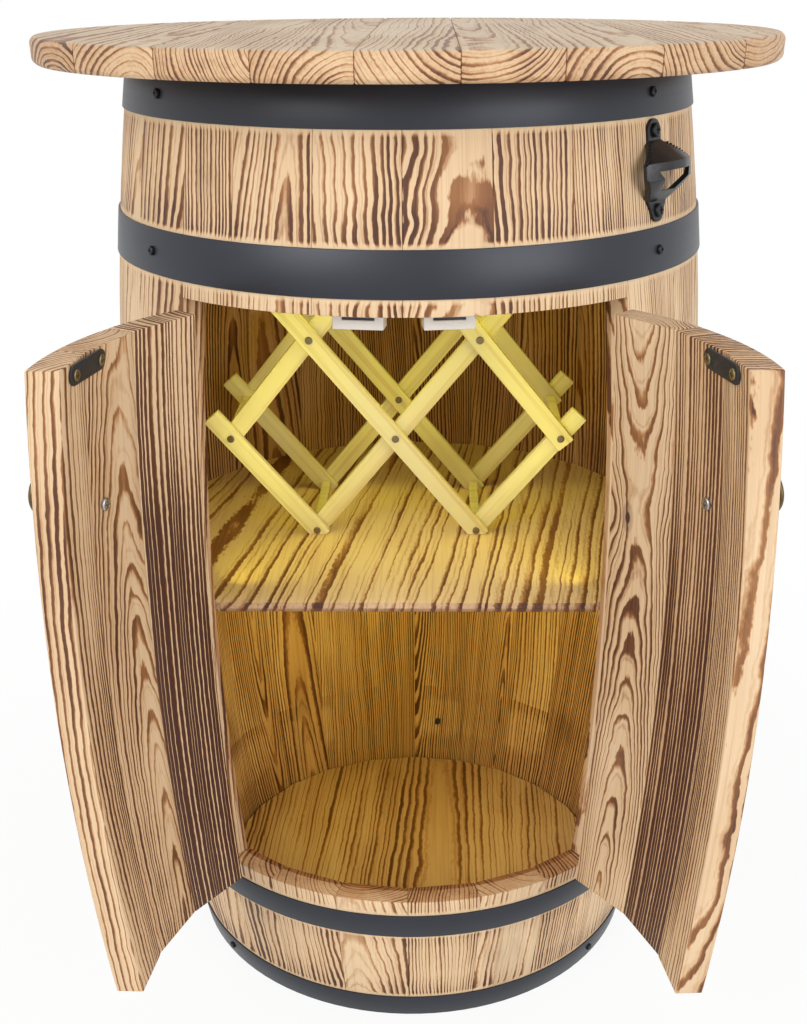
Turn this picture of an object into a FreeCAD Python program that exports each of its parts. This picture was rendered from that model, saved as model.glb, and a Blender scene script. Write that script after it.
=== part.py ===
import FreeCAD, Part
import Sketcher
import math
import os

# Barrel bar cabinet: a coopered wooden barrel with two curved doors, a round table top,
# a shelf, a trellis bottle rack, magnetic catches, lighting tapes and a bottle opener.
# Millimetres. The origin is the middle of the floor board's underside, +Z is up, the
# doorway faces -Y and +X is on the right of someone who stands in front of the doorway.
# Angles are counted from the middle of the doorway, in degrees, positive to the right.
# The doors are modelled swung open; a door shut would stand at an opening angle of 0.

SIZES = (
    # the barrel's wooden shell
    ("barrel_height", 782, "staves, floor to table"),
    ("bilge_radius", 250, "outside radius at the widest height"),
    ("bilge_height", 376, "height of the widest place"),
    ("stave_bend_radius", 2200, "outside bend along a stave"),
    ("stave_thickness", 22, "stave thickness at its middle"),
    ("stave_seam", 0.2, "open joint between two staves"),
    ("doorway_half_angle", 42.3, "doorway, from its middle to each side"),
    ("stave_angle", 15.3, "angle that a full stave covers"),
    ("sill_height", 147, "lower edge of the doorway"),
    ("lintel_drop", 143.5, "upper edge of the doorway below the table"),
    # table and boards
    ("table_radius", 280, "table top radius"),
    ("table_thickness", 18, "table top thickness"),
    ("table_edge", 3, "eased edge of the table"),
    ("board_width", 62, "width of one table board"),
    ("board_seam_place", 36, "a board seam, to the right of the middle"),
    ("board_seam", 0.2, "open joint between two boards"),
    ("floor_thickness", 18, "floor board thickness"),
    ("head_thickness", 18, "upper head board thickness"),
    ("board_clearance", 0.2, "round boards inside the staves"),
    # hoops
    ("hoop_thickness", 1.5, "steel band thickness"),
    ("hoop_clearance", 0.1, "band off the staves"),
    ("base_hoop_bottom", 1, "underside of the band round the foot"),
    ("base_hoop_width", 24, "band round the foot"),
    ("lower_hoop_bottom", 106, "underside of the band below the doorway"),
    ("lower_hoop_width", 25, "band below the doorway"),
    ("upper_hoop_rise", 11.5, "underside of the band above the doorway's edge"),
    ("upper_hoop_width", 31, "band above the doorway"),
    ("top_hoop_width", 30, "band under the table"),
    # doors
    ("door_gap", 3, "door off sill and lintel"),
    ("door_edge_gap", 0.35, "door off jamb and other door, degrees"),
    ("left_open_angle", 91, "left door as it stands"),
    ("right_open_angle", 93, "right door as it stands"),
    # hinges
    ("hinge_pin_offset", 0.5, "pin axis outside the widest radius"),
    ("hinge_spacing", 260, "upper hinge above the lower one"),
    ("hinge_height", 40, "hinge leaf height"),
    ("hinge_leaf_width", 17, "pin axis to the leaf's edge"),
    ("hinge_leaf_thickness", 1.8, "hinge leaf plate"),
    ("hinge_knuckle_radius", 5, "hinge knuckle radius"),
    ("hinge_pin_radius", 2, "hinge pin radius"),
    ("hinge_bore_clearance", 0.05, "pin in its knuckle"),
    ("hinge_knuckle_gap", 0.3, "between the knuckles along the pin"),
    ("hinge_seat_depth", 5.3, "leaf seat inside the pin axis"),
    ("hinge_relief", 0.4, "leaf cut back round the other's knuckle"),
    ("hinge_mortise_clearance", 0.5, "mortise round the leaf"),
    # shelf
    ("shelf_height", 399, "top of the shelf"),
    ("shelf_thickness", 8, "shelf board thickness"),
    ("shelf_front", 172, "straight front edge, ahead of the middle"),
    ("cleat_width", 50, "shelf cleat across the stave"),
    ("cleat_depth", 15, "shelf cleat from the stave inwards"),
    ("cleat_height", 15, "shelf cleat height"),
    # bottle rack
    ("rack_middle", -12, "middle of the trellis"),
    ("rack_half_cell_width", 71.3, "half a trellis cell across"),
    ("rack_rise", 18.3, "topmost crossing above the lintel's edge"),
    ("rack_front", -30, "front face of the front trellis"),
    ("rack_depth", 130, "front face to rear face of the rack"),
    ("slat_width", 16, "slat width"),
    ("slat_thickness", 7.5, "slat thickness"),
    ("slat_overhang", 25, "slat past an outer crossing"),
    ("slat_end", 8, "slat past an inner crossing"),
    ("spacer_size", 8, "square bars between the trellises"),
    # knobs
    ("knob_shift", 14.3, "knob off its stave's middle, to the free edge"),
    ("knob_place", 530, "knob height"),
    ("knob_height", 34, "knob off the door"),
    ("knob_radius", 16, "knob head radius"),
    ("knob_head_thickness", 12, "knob head thickness"),
    ("knob_neck_radius", 6, "knob neck radius"),
    # strikes and magnetic catches
    ("strike_angle", 10.65, "middle of the strike plate"),
    ("strike_drop", 10.5, "strike plate's middle below the lintel's edge"),
    ("strike_length", 50, "strike plate length"),
    ("strike_width", 13, "strike plate width"),
    ("strike_thickness", 1.5, "strike plate thickness"),
    ("strike_clearance", 0.02, "strike plate off the staves that it bridges"),
    ("catch_shift", 4, "catch off its stave's middle, away from the doorway's"),
    ("catch_width", 36, "catch housing width"),
    ("catch_drop", 14.5, "catch below the lintel"),
    ("catch_rise", 13.5, "catch above the lintel's edge"),
    ("catch_depth", 17.1, "catch's inner face off the lintel stave"),
    ("catch_setback", 4.6, "catch face behind the staves' face"),
    ("catch_clearance", 0.05, "catch housing off the lintel stave"),
    ("pole_width", 23, "magnet slot width"),
    ("pole_height", 2, "magnet slot height"),
    ("pole_depth", 4, "magnet slot depth"),
    ("pole_recess", 1, "pole plate inside the slot"),
    # lighting
    ("tape_width", 8, "lighting tape width"),
    ("tape_thickness", 0.6, "lighting tape thickness"),
    ("tape_length", 520, "lighting tape length"),
    ("tape_clearance", 0.05, "lighting tape off the stave"),
    ("tape_notch_clearance", 1, "shelf notch round the tape"),
    ("inlet_place", 62, "power inlet height"),
    ("inlet_radius", 9, "power inlet housing radius"),
    ("inlet_height", 12, "power inlet housing off the stave"),
    ("inlet_sleeve_radius", 3, "cable sleeve through the stave"),
    ("inlet_sleeve_length", 26, "cable sleeve inward of the stave's face"),
    ("inlet_bore_radius", 2.8, "power inlet bore radius"),
    ("inlet_bore_depth", 10, "power inlet bore depth"),
    ("inlet_clearance", 0.2, "cable sleeve in its hole"),
    # bottle opener
    ("opener_shift", 4.1, "bottle opener off its stave's middle"),
    ("opener_drop", 65, "bottle opener's middle below the table"),
    ("opener_screw_spacing", 52, "bottle opener's screws"),
    ("opener_lug_radius", 7.5, "bottle opener's rounded ends"),
    ("opener_width", 50, "bottle opener's hood width"),
    ("opener_reach", 23, "bottle opener's hood off the stave"),
    ("opener_plate", 4.5, "bottle opener's metal thickness"),
    ("opener_mouth_width", 34, "bottle opener's mouth width"),
    ("opener_mouth_height", 13, "bottle opener's mouth height"),
    ("opener_hole_radius", 2.5, "bottle opener's screw holes"),
    ("opener_shoulder", 4, "bottle opener's hood beyond its lower lug, where they meet"),
)

# whole staves: behind each jamb, across the back, and round from one doorway edge to the other
SIDE_STAVES = 5
BACK_STAVES = 6
WHOLE_STAVES = 2 + 2 * SIDE_STAVES + BACK_STAVES
INLET_STAVE = 8
CLEAT_STAVES = (1, 7)
TABLE_BOARDS = range(-4, 5)

doc = FreeCAD.newDocument("BarrelBarCabinet")
sheet = doc.addObject("Spreadsheet::Sheet", "Sizes")
for row, (alias, value, meaning) in enumerate(SIZES, start=1):
    sheet.set(f"A{row}", meaning)
    sheet.set(f"B{row}", str(value))
    sheet.setAlias(f"B{row}", alias)
doc.recompute()

nodes = []


# ---------------------------------------------------------------- expressions


def size(alias):
    """The cell of one driving dimension, as an expression."""
    return f"Sizes.{alias}"


def number(expression):
    """What an expression comes to now, for a sketch's first drawing."""
    result = sheet.evalExpression(str(expression))
    return float(getattr(result, "Value", result))


def bow(height, inward="0"):
    """Radius of the bent stave line at a height, a depth inward of the outer face."""
    bend = f"(Sizes.stave_bend_radius - {inward})"
    rise = f"({height} - Sizes.bilge_height)"
    return f"(Sizes.bilge_radius - Sizes.stave_bend_radius + sqrt({bend}^2 - {rise}^2))"


def lintel():
    """The height of the doorway's upper edge."""
    return "(Sizes.barrel_height - Sizes.lintel_drop)"


def half_cell_height():
    """Half a trellis cell up: three of them reach from the shelf to just above the lintel."""
    foot = "Sizes.shelf_height + Sizes.spacer_size / 2"
    return f"(({lintel()} + Sizes.rack_rise - ({foot})) / 3)"


def outer_radius(height):
    return bow(height)


def inner_radius(height):
    return bow(height, size("stave_thickness"))


def turned(angle):
    """Placement turned round the barrel to an angle from the doorway's middle."""
    return f"placement(vector(0; 0; 0); rotationz({angle} - 90))"


def moved(x="0", y="0", z="0", rotation="rotationz(0)"):
    return f"placement(vector({x}; {y}; {z}); {rotation})"


def chain(*placements):
    return " * ".join(placements)


def flat_depth(angle="Sizes.stave_angle"):
    """How far the flat outside of a stave lies inside the circle through its edges."""
    return f"(Sizes.bilge_radius * (1 - cos({angle} / 2)))"


def on_stave(middle, height, inward, shift="0"):
    """Placement on a bent stave's face: +Z square out of it, +X down, +Y round the barrel.

    middle is the stave's middle angle, inward the face's depth inside the edges' circle.
    """
    bend = f"(Sizes.stave_bend_radius - {inward})"
    lean = f"asin(({height} - Sizes.bilge_height) / {bend})"
    centre = moved("Sizes.bilge_radius - Sizes.stave_bend_radius", "0", size("bilge_height"), f"rotationy(-{lean})")
    return chain(turned(middle), centre, moved(bend, shift, "0", "rotationy(90)"))


def stave_middle(side, index):
    """The middle angle of a full stave, the jamb being number 0 and the next one behind it 1."""
    return f"({side} * (Sizes.doorway_half_angle + ({index} + 0.5) * Sizes.stave_angle))"


def hinge_axis(side):
    """The pin line, in the middle of the gap between jamb and door: its x and y."""
    radius = "(Sizes.bilge_radius + Sizes.hinge_pin_offset)"
    x = f"({side} * {radius} * sin(Sizes.doorway_half_angle))"
    y = f"(-{radius} * cos(Sizes.doorway_half_angle))"
    return x, y


def swing(side):
    """Placement that carries a shut door round its pin to where it stands."""
    x, y = hinge_axis(side)
    opening = size("right_open_angle") if side > 0 else f"-{size('left_open_angle')}"
    return chain(moved(x, y, "0", f"rotationz({opening})"), moved(f"-{x}", f"-{y}"))


# ---------------------------------------------------------------- building blocks


def put(thing, placement):
    thing.setExpression("Placement", placement)
    return thing


def node(thing, label):
    """A finished separate piece, or a group of like pieces, that is written to a file."""
    thing.Label = label
    nodes.append(thing)
    return thing


def plane(body, role):
    return next(feature for feature in body.Origin.OriginFeatures if feature.Role == role)


def sketch_on(body, role, name):
    sketch = body.newObject("Sketcher::SketchObject", f"{body.Name}_{name}")
    sketch.AttachmentSupport = (plane(body, role), "")
    sketch.MapMode = "FlatFace"
    return sketch


def outline(body, role, name, corners, arcs=None):
    """A closed sketch through corners given as pairs of expressions.

    arcs maps an edge's number to the radius of its arc, as an expression. A positive sign,
    given as the arc's second value, bulges to the right of the way from corner to corner.
    """
    arcs = arcs or {}
    sketch = sketch_on(body, role, name)
    points = [FreeCAD.Vector(number(x), number(y), 0) for x, y in corners]
    ends = []
    for edge, start in enumerate(points):
        finish = points[(edge + 1) % len(points)]
        if edge not in arcs:
            sketch.addGeometry(Part.LineSegment(start, finish), False)
            ends.append((1, 2))
            continue
        radius, side = arcs[edge]
        chord = finish - start
        half = chord.Length / 2
        across = FreeCAD.Vector(-chord.y, chord.x, 0).normalize()
        centre = (start + finish) / 2 + across * side * math.sqrt(max(number(radius) ** 2 - half**2, 0))
        circle = Part.Circle(centre, FreeCAD.Vector(0, 0, 1), number(radius))
        first, last = (start, finish) if side > 0 else (finish, start)
        angles = [math.atan2(p.y - centre.y, p.x - centre.x) for p in (first, last)]
        sketch.addGeometry(Part.ArcOfCircle(circle, *angles), False)
        ends.append((1, 2) if side > 0 else (2, 1))
    count = len(points)
    for edge in range(count):
        after = (edge + 1) % count
        sketch.addConstraint(Sketcher.Constraint("Coincident", edge, ends[edge][1], after, ends[after][0]))
    for edge, (x, y) in enumerate(corners):
        for kind, expression in (("DistanceX", x), ("DistanceY", y)):
            start = ends[edge][0]
            place = Sketcher.Constraint(kind, -1, 1, edge, start, number(expression))
            index = sketch.addConstraint(place)
            if "Sizes." in str(expression):
                sketch.setExpression(f"Constraints[{index}]", str(expression))
    for edge, (radius, _) in arcs.items():
        chord = points[(edge + 1) % count] - points[edge]
        if 2 * number(radius) - chord.Length > 1e-6:
            index = sketch.addConstraint(Sketcher.Constraint("Radius", edge, number(radius)))
            sketch.setExpression(f"Constraints[{index}]", str(radius))
            continue
        # a half circle is held by its centre, level with both of its ends
        kind, level = ("DistanceY", corners[edge][1]) if abs(chord.y) < 1e-6 else ("DistanceX", corners[edge][0])
        index = sketch.addConstraint(Sketcher.Constraint(kind, -1, 1, edge, 3, number(level)))
        if "Sizes." in str(level):
            sketch.setExpression(f"Constraints[{index}]", str(level))
    return sketch


def circle(body, role, name, x, y, radius):
    sketch = sketch_on(body, role, name)
    centre = FreeCAD.Vector(number(x), number(y), 0)
    sketch.addGeometry(Part.Circle(centre, FreeCAD.Vector(0, 0, 1), number(radius)), False)
    for kind, expression in (("DistanceX", x), ("DistanceY", y)):
        index = sketch.addConstraint(Sketcher.Constraint(kind, -1, 1, 0, 3, number(expression)))
        if "Sizes." in str(expression):
            sketch.setExpression(f"Constraints[{index}]", str(expression))
    index = sketch.addConstraint(Sketcher.Constraint("Radius", 0, number(radius)))
    sketch.setExpression(f"Constraints[{index}]", str(radius))
    return sketch


def revolve(body, sketch, angle="360", both_ways=False):
    feature = body.newObject("PartDesign::Revolution", f"{body.Name}_Revolution")
    feature.Profile = sketch
    feature.ReferenceAxis = (sketch, ["V_Axis"])
    feature.Midplane = both_ways
    feature.setExpression("Angle", angle)
    return feature


def pad(body, sketch, length, both_ways=False):
    feature = body.newObject("PartDesign::Pad", f"{body.Name}_Pad")
    feature.Profile = sketch
    feature.setExpression("Length", length)
    feature.Midplane = both_ways
    return feature


def pocket(body, sketch, length, both_ways=True):
    feature = body.newObject("PartDesign::Pocket", f"{body.Name}_Pocket")
    feature.Profile = sketch
    feature.setExpression("Length", length)
    feature.Midplane = both_ways
    return feature


def repeat_round(body, features, role, step, count):
    """Copies of the whole body so far, turned round one of its own axes."""
    pattern = body.newObject("PartDesign::PolarPattern", f"{body.Name}_Copies")
    pattern.Originals = features
    pattern.TransformMode = "Whole shape"
    pattern.Axis = (plane(body, role), [""])
    pattern.Mode = "Spacing"
    pattern.setExpression("Offset", step)
    pattern.Occurrences = count
    body.Tip = pattern
    return pattern


def group(parts, name):
    """Separate like pieces that share one node."""
    thing = doc.addObject("Part::Compound", name)
    thing.Links = parts
    return thing


def cut(base, tools, name):
    """base with the space of the tools taken out of it."""
    tool = tools[0] if len(tools) == 1 else group(tools, f"{name}_tools")
    thing = doc.addObject("Part::Cut", name)
    thing.Base = base
    thing.Tool = tool
    return thing


def box(name, length, width, height, placement):
    """A box whose local X, Y and Z edges have the given lengths, centred on its placement."""
    thing = doc.addObject("Part::Box", name)
    thing.setExpression("Length", length)
    thing.setExpression("Width", width)
    thing.setExpression("Height", height)
    centring = moved(f"-({length}) / 2", f"-({width}) / 2", f"-({height}) / 2")
    return put(thing, chain(placement, centring))


def rod(name, radius, length, placement):
    """A cylinder along its placement's +Z."""
    thing = doc.addObject("Part::Cylinder", name)
    thing.setExpression("Radius", radius)
    thing.setExpression("Height", length)
    return put(thing, placement)


# ---------------------------------------------------------------- staves


def stave(name, first_angle, angle, low, high, copies=1):
    """One stave, or copies side by side: a flat board bent along its length.

    It starts at first_angle from the doorway's middle and covers angle, and its edges are
    planed to point at the barrel's axis, with half an open joint left at each.
    """
    body = doc.addObject("PartDesign::Body", name)
    face = flat_depth(angle)
    thickness = size("stave_thickness")
    profile = outline(
        body,
        "XZ_Plane",
        "profile",
        [
            (inner_radius(low), low),
            (bow(low, face), low),
            (bow(high, face), high),
            (inner_radius(high), high),
        ],
        {1: (f"Sizes.stave_bend_radius - {face}", 1), 3: (f"Sizes.stave_bend_radius - {thickness}", -1)},
    )
    board = pad(body, profile, f"2 * Sizes.bilge_radius * sin({angle} / 2) + {thickness}", both_ways=True)
    half = f"(({angle} - Sizes.stave_seam / Sizes.bilge_radius * 180 / pi) / 2)"
    near = "(Sizes.bilge_radius / 2)"
    far = "(Sizes.bilge_radius * 1.5)"
    features = [board]
    for way in (-1, 1):
        edge = outline(
            body,
            "XY_Plane",
            f"edge{way + 2}",
            [
                (f"{near} * cos({half})", f"{way} * {near} * sin({half})"),
                (f"{far} * cos({half})", f"{way} * {far} * sin({half})"),
                (f"{near} * cos({half})", f"{way} * {far}"),
            ],
        )
        features.append(pocket(body, edge, f"2 * ({high}) + {thickness}"))
    if copies > 1:
        repeat_round(body, features, "Z_Axis", angle, copies)
    put(body, turned(f"({first_angle}) + ({angle}) / 2"))
    return body


def mortise(name, side, frame_side):
    """The flat seats of both hinge leaves in the jamb, or in the door's hinge-side stave."""
    seats = []
    clearance = size("hinge_mortise_clearance")
    for level in (-1, 1):
        height = f"Sizes.bilge_height + {level} * Sizes.hinge_spacing / 2"
        way = side if frame_side else -side
        deep = "(2 * Sizes.hinge_seat_depth)"
        wide = f"(Sizes.hinge_leaf_width + {clearance} + 2 * Sizes.hinge_knuckle_radius)"
        shift = f"{way} * ({wide} / 2 - 2 * Sizes.hinge_knuckle_radius)"
        place = chain(pin_frame(side, frame_side, height), moved("0", shift))
        tall = f"Sizes.hinge_height + 2 * {clearance}"
        seats.append(box(f"{name}_{'upper' if level > 0 else 'lower'}", deep, wide, tall, place))
    return seats


def pin_frame(side, frame_side, height):
    """Placement on the hinge pin's line, +X square out of the stave that carries the leaf."""
    x, y = hinge_axis(side)
    middle = f"{side} * (Sizes.doorway_half_angle {'+' if frame_side else '-'} Sizes.stave_angle / 2)"
    return moved(x, y, height, f"rotationz({middle} - 90)")


def shell_staves():
    """The full-height staves beside and behind the doorway."""
    top = size("barrel_height")
    full = size("stave_angle")
    edge = size("doorway_half_angle")
    for side, word in ((-1, "left"), (1, "right")):
        start = edge if side > 0 else f"-{edge} - {full}"
        jamb = stave(f"JambStave_{word}", start, full, "0", top)
        seats = mortise(f"JambMortise_{word}", side, True)
        node(cut(jamb, seats, f"Jamb_{word}"), f"jamb_stave_{word}")
        start = f"{edge} + {full}" if side > 0 else f"-{edge} - {SIDE_STAVES + 1} * {full}"
        row = stave(f"SideStaves_{word}", start, full, "0", top, copies=SIDE_STAVES)
        node(row, f"side_staves_{word}")
    start = f"{edge} + {SIDE_STAVES + 1} * {full}"
    back = stave("BackStaves", start, full, "0", top, copies=BACK_STAVES)
    hole = "Sizes.inlet_sleeve_radius + Sizes.inlet_clearance"
    deep = moved("0", "0", f"-2 * {size('stave_thickness')}")
    drill = rod("InletHole", hole, f"3 * {size('stave_thickness')}", chain(inlet_place(), deep))
    node(cut(back, [drill], "BackStaves_drilled"), "back_staves")


def short_staves(label, low, high):
    """The short staves above or below the doorway, three on each side of its middle."""
    full = size("stave_angle")
    narrow = f"(Sizes.doorway_half_angle - 2 * {full})"
    for side, word in ((-1, "left"), (1, "right")):
        pair_start = "0" if side > 0 else f"-2 * {full}"
        pair = stave(f"{label}_{word}_pair", pair_start, full, low, high, copies=2)
        slim_start = f"2 * {full}" if side > 0 else f"-{size('doorway_half_angle')}"
        slim = stave(f"{label}_{word}_slim", slim_start, narrow, low, high)
        node(group([pair, slim], f"{label}_{word}"), f"{label}_staves_{word}")


# ---------------------------------------------------------------- boards and hoops


def table_top():
    """A round table top of straight boards, its edge eased above and below."""
    body = doc.addObject("PartDesign::Body", "TableDisc")
    bottom = size("barrel_height")
    top = "Sizes.barrel_height + Sizes.table_thickness"
    edge = size("table_edge")
    rim = size("table_radius")
    section = outline(
        body,
        "XZ_Plane",
        "section",
        [
            ("0", bottom),
            (f"{rim} - {edge}", bottom),
            (rim, f"{bottom} + {edge}"),
            (rim, f"{top} - {edge}"),
            (f"{rim} - {edge}", top),
            ("0", top),
        ],
    )
    revolve(body, section)
    boards = []
    width = size("board_width")
    first, last = TABLE_BOARDS[0], TABLE_BOARDS[-1]
    for index in TABLE_BOARDS:
        middle = f"Sizes.board_seam_place + ({index} - 0.5) * {width}"
        wide = f"{width} - Sizes.board_seam"
        if index in (first, last):
            # the two outermost boards run on to the rim
            middle = f"{middle} + {1 if index == last else -1} * {width} / 2"
            wide = f"2 * {width} - Sizes.board_seam"
        tall = f"2 * {size('table_thickness')}"
        place = moved(middle, "0", f"{bottom} + Sizes.table_thickness / 2")
        boards.append(box(f"Board_{index - first}", wide, f"2 * {rim} + {width}", tall, place))
    common = doc.addObject("Part::Common", "TableBoards")
    common.Base = body
    common.Tool = group(boards, "TableBoardBlanks")
    node(common, "table_top")


def stave_faces():
    """The middle angle of every stave, once round from the doorway's middle to the right."""
    full = size("stave_angle")
    edge = size("doorway_half_angle")
    narrow_middle = f"({full} + {edge} / 2)"
    front = [f"(0.5 * {full})", f"(1.5 * {full})", narrow_middle]
    behind = [f"({edge} + {index + 0.5} * {full})" for index in range(WHOLE_STAVES)]
    return front + behind + [f"(360 - {angle})" for angle in reversed(front)]


def fitted_board(name, reach, thickness, placement):
    """A board whose edges each lie against one stave, at a distance of reach from the axis."""
    body = doc.addObject("PartDesign::Body", name)
    faces = stave_faces()
    corners = []
    for index, angle in enumerate(faces):
        following = faces[index + 1] if index + 1 < len(faces) else f"({faces[0]} + 360)"
        radius = f"({reach}) / cos(({following} - {angle}) / 2)"
        turn = f"(({angle} + {following}) / 2 - 90)"
        corners.append((f"{radius} * cos({turn})", f"{radius} * sin({turn})"))
    pad(body, outline(body, "XY_Plane", "outline", corners), thickness)
    return put(body, placement)


def fitted_boards():
    """The floor board and the upper head, let in between the staves."""
    clearance = size("board_clearance")
    reach = f"{inner_radius('0')} - {clearance}"
    node(fitted_board("Floor", reach, size("floor_thickness"), moved()), "floor_board")
    top = size("barrel_height")
    reach = f"{inner_radius(top)} - {clearance}"
    place = moved("0", "0", f"{top} - Sizes.head_thickness")
    node(fitted_board("Head", reach, size("head_thickness"), place), "top_head")


def hoop(word, bottom, width):
    """A steel band that tapers with the barrel."""
    body = doc.addObject("PartDesign::Body", f"Hoop_{word}")
    inside = size("hoop_clearance")
    outside = "(Sizes.hoop_clearance + Sizes.hoop_thickness)"
    top = f"({bottom} + {width})"
    section = outline(
        body,
        "XZ_Plane",
        "section",
        [
            (f"{outer_radius(bottom)} + {inside}", bottom),
            (f"{outer_radius(bottom)} + {outside}", bottom),
            (f"{outer_radius(top)} + {outside}", top),
            (f"{outer_radius(top)} + {inside}", top),
        ],
    )
    revolve(body, section)
    return body


def hoops():
    """Four bands: round the foot, below and above the doorway, and under the table."""
    top = "(Sizes.barrel_height - Sizes.top_hoop_width)"
    bands = [
        hoop("base", size("base_hoop_bottom"), size("base_hoop_width")),
        hoop("lower", size("lower_hoop_bottom"), size("lower_hoop_width")),
        hoop("upper", f"({lintel()} + Sizes.upper_hoop_rise)", size("upper_hoop_width")),
        hoop("top", top, size("top_hoop_width")),
    ]
    node(group(bands, "Hoops"), "hoops")


# ---------------------------------------------------------------- shelf and rack


def shelf():
    """A shelf fitted to the staves, straight in front, notched for the tapes, on four cleats."""
    bottom = "(Sizes.shelf_height - Sizes.shelf_thickness)"
    radius = f"({inner_radius(bottom)} - Sizes.board_clearance)"
    board = fitted_board("ShelfBoard", radius, size("shelf_thickness"), moved("0", "0", bottom))
    deep = f"({radius} * 2)"
    front = moved("0", f"-Sizes.shelf_front - {deep} / 2", bottom)
    tools = [box("ShelfFront", f"2 * {deep}", deep, f"4 * {size('shelf_thickness')}", front)]
    for side in (-1, 1):
        deep = "2 * (Sizes.tape_thickness + Sizes.tape_notch_clearance)"
        wide = "Sizes.tape_width + 2 * Sizes.tape_notch_clearance"
        place = chain(turned(stave_middle(side, 0)), moved(inner_radius(bottom), "0", bottom))
        tools.append(box(f"TapeNotch_{side + 2}", deep, wide, f"4 * {size('shelf_thickness')}", place))
    node(cut(board, tools, "ShelfNotched"), "shelf")
    cleats = []
    for side in (-1, 1):
        for index in CLEAT_STAVES:
            out = f"{inner_radius(bottom)} - Sizes.board_clearance - Sizes.cleat_depth / 2"
            level = f"{bottom} - Sizes.cleat_height / 2"
            place = chain(turned(stave_middle(side, index)), moved(out, "0", level))
            name = f"Cleat_{side + 2}_{index}"
            cleats.append(box(name, size("cleat_depth"), size("cleat_width"), size("cleat_height"), place))
    node(group(cleats, "Cleats"), "shelf_cleats")


def crossing(across, down):
    """Where trellis slats cross, in half cells right of the middle and down from its middle."""
    x = f"(Sizes.rack_middle + {across} * Sizes.rack_half_cell_width)"
    foot = "(Sizes.shelf_height + Sizes.spacer_size / 2)"
    z = f"({foot} + {2 - down} * {half_cell_height()})"
    return x, z


def slat(name, start, finish, first_end, last_end, front):
    """One slat from crossing to crossing, with its ends past them, its front face at y = front."""
    (x0, z0), (x1, z1) = crossing(*start), crossing(*finish)
    steps = abs(finish[0] - start[0])
    half_diagonal = f"sqrt(Sizes.rack_half_cell_width^2 + {half_cell_height()}^2)"
    length = f"({steps} * {half_diagonal} + {first_end} + {last_end})"
    slope = f"atan({half_cell_height()} / Sizes.rack_half_cell_width)"
    turn = f"rotationy({slope})" if finish[1] > start[1] else f"rotationy(-{slope})"
    place = chain(
        moved(f"({x0} + {x1}) / 2", f"{front} + Sizes.slat_thickness / 2", f"({z0} + {z1}) / 2", turn),
        moved(f"({last_end} - ({first_end})) / 2"),
    )
    return box(name, length, size("slat_thickness"), size("slat_width"), place)


def bottle_rack():
    """Two trellises of crossed slats, joined by square bars, that stand on the shelf."""
    out = size("slat_overhang")
    end = size("slat_end")
    falling = (((-2, 1), (-1, 2), out, end), ((-2, -1), (1, 2), end, end), ((0, -1), (2, 1), end, end))
    rising = (((-2, 1), (0, -1), end, end), ((-1, 2), (2, -1), end, end), ((1, 2), (2, 1), end, out))
    thick = size("slat_thickness")
    front = size("rack_front")
    rear = "Sizes.rack_front + Sizes.rack_depth - 2 * Sizes.slat_thickness"
    room_height = f"({lintel()} + {size('stave_thickness')} * 2 - {size('shelf_height')})"
    for word, start in (("front", front), ("rear", f"({rear})")):
        for lean, slats, layer in (("falling", falling, start), ("rising", rising, f"{start} + {thick}")):
            name = f"Slats_{word}_{lean}"
            pieces = [slat(f"{name}_{index}", *ends, layer) for index, ends in enumerate(slats)]
            wide = "8 * Sizes.rack_half_cell_width"
            room = box(
                f"{name}_room",
                wide,
                wide,
                room_height,
                moved(size("rack_middle"), "0", f"Sizes.shelf_height + {room_height} / 2"),
            )
            common = doc.addObject("Part::Common", f"{name}_trimmed")
            common.Base = group(pieces, f"{name}_blanks")
            common.Tool = room
            node(common, f"rack_{word}_{lean}_slats")
    spacers = []
    gap = "(Sizes.rack_depth - 4 * Sizes.slat_thickness)"
    for index, place in enumerate(((-2, 1), (2, 1), (-1, 2), (1, 2), (0, -1))):
        x, z = crossing(*place)
        middle = moved(x, "Sizes.rack_front + Sizes.rack_depth / 2", z)
        spacers.append(box(f"Spacer_{index}", size("spacer_size"), gap, size("spacer_size"), middle))
    node(group(spacers, "Spacers"), "rack_spacers")


# ---------------------------------------------------------------- catches, lights, inlet


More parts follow.
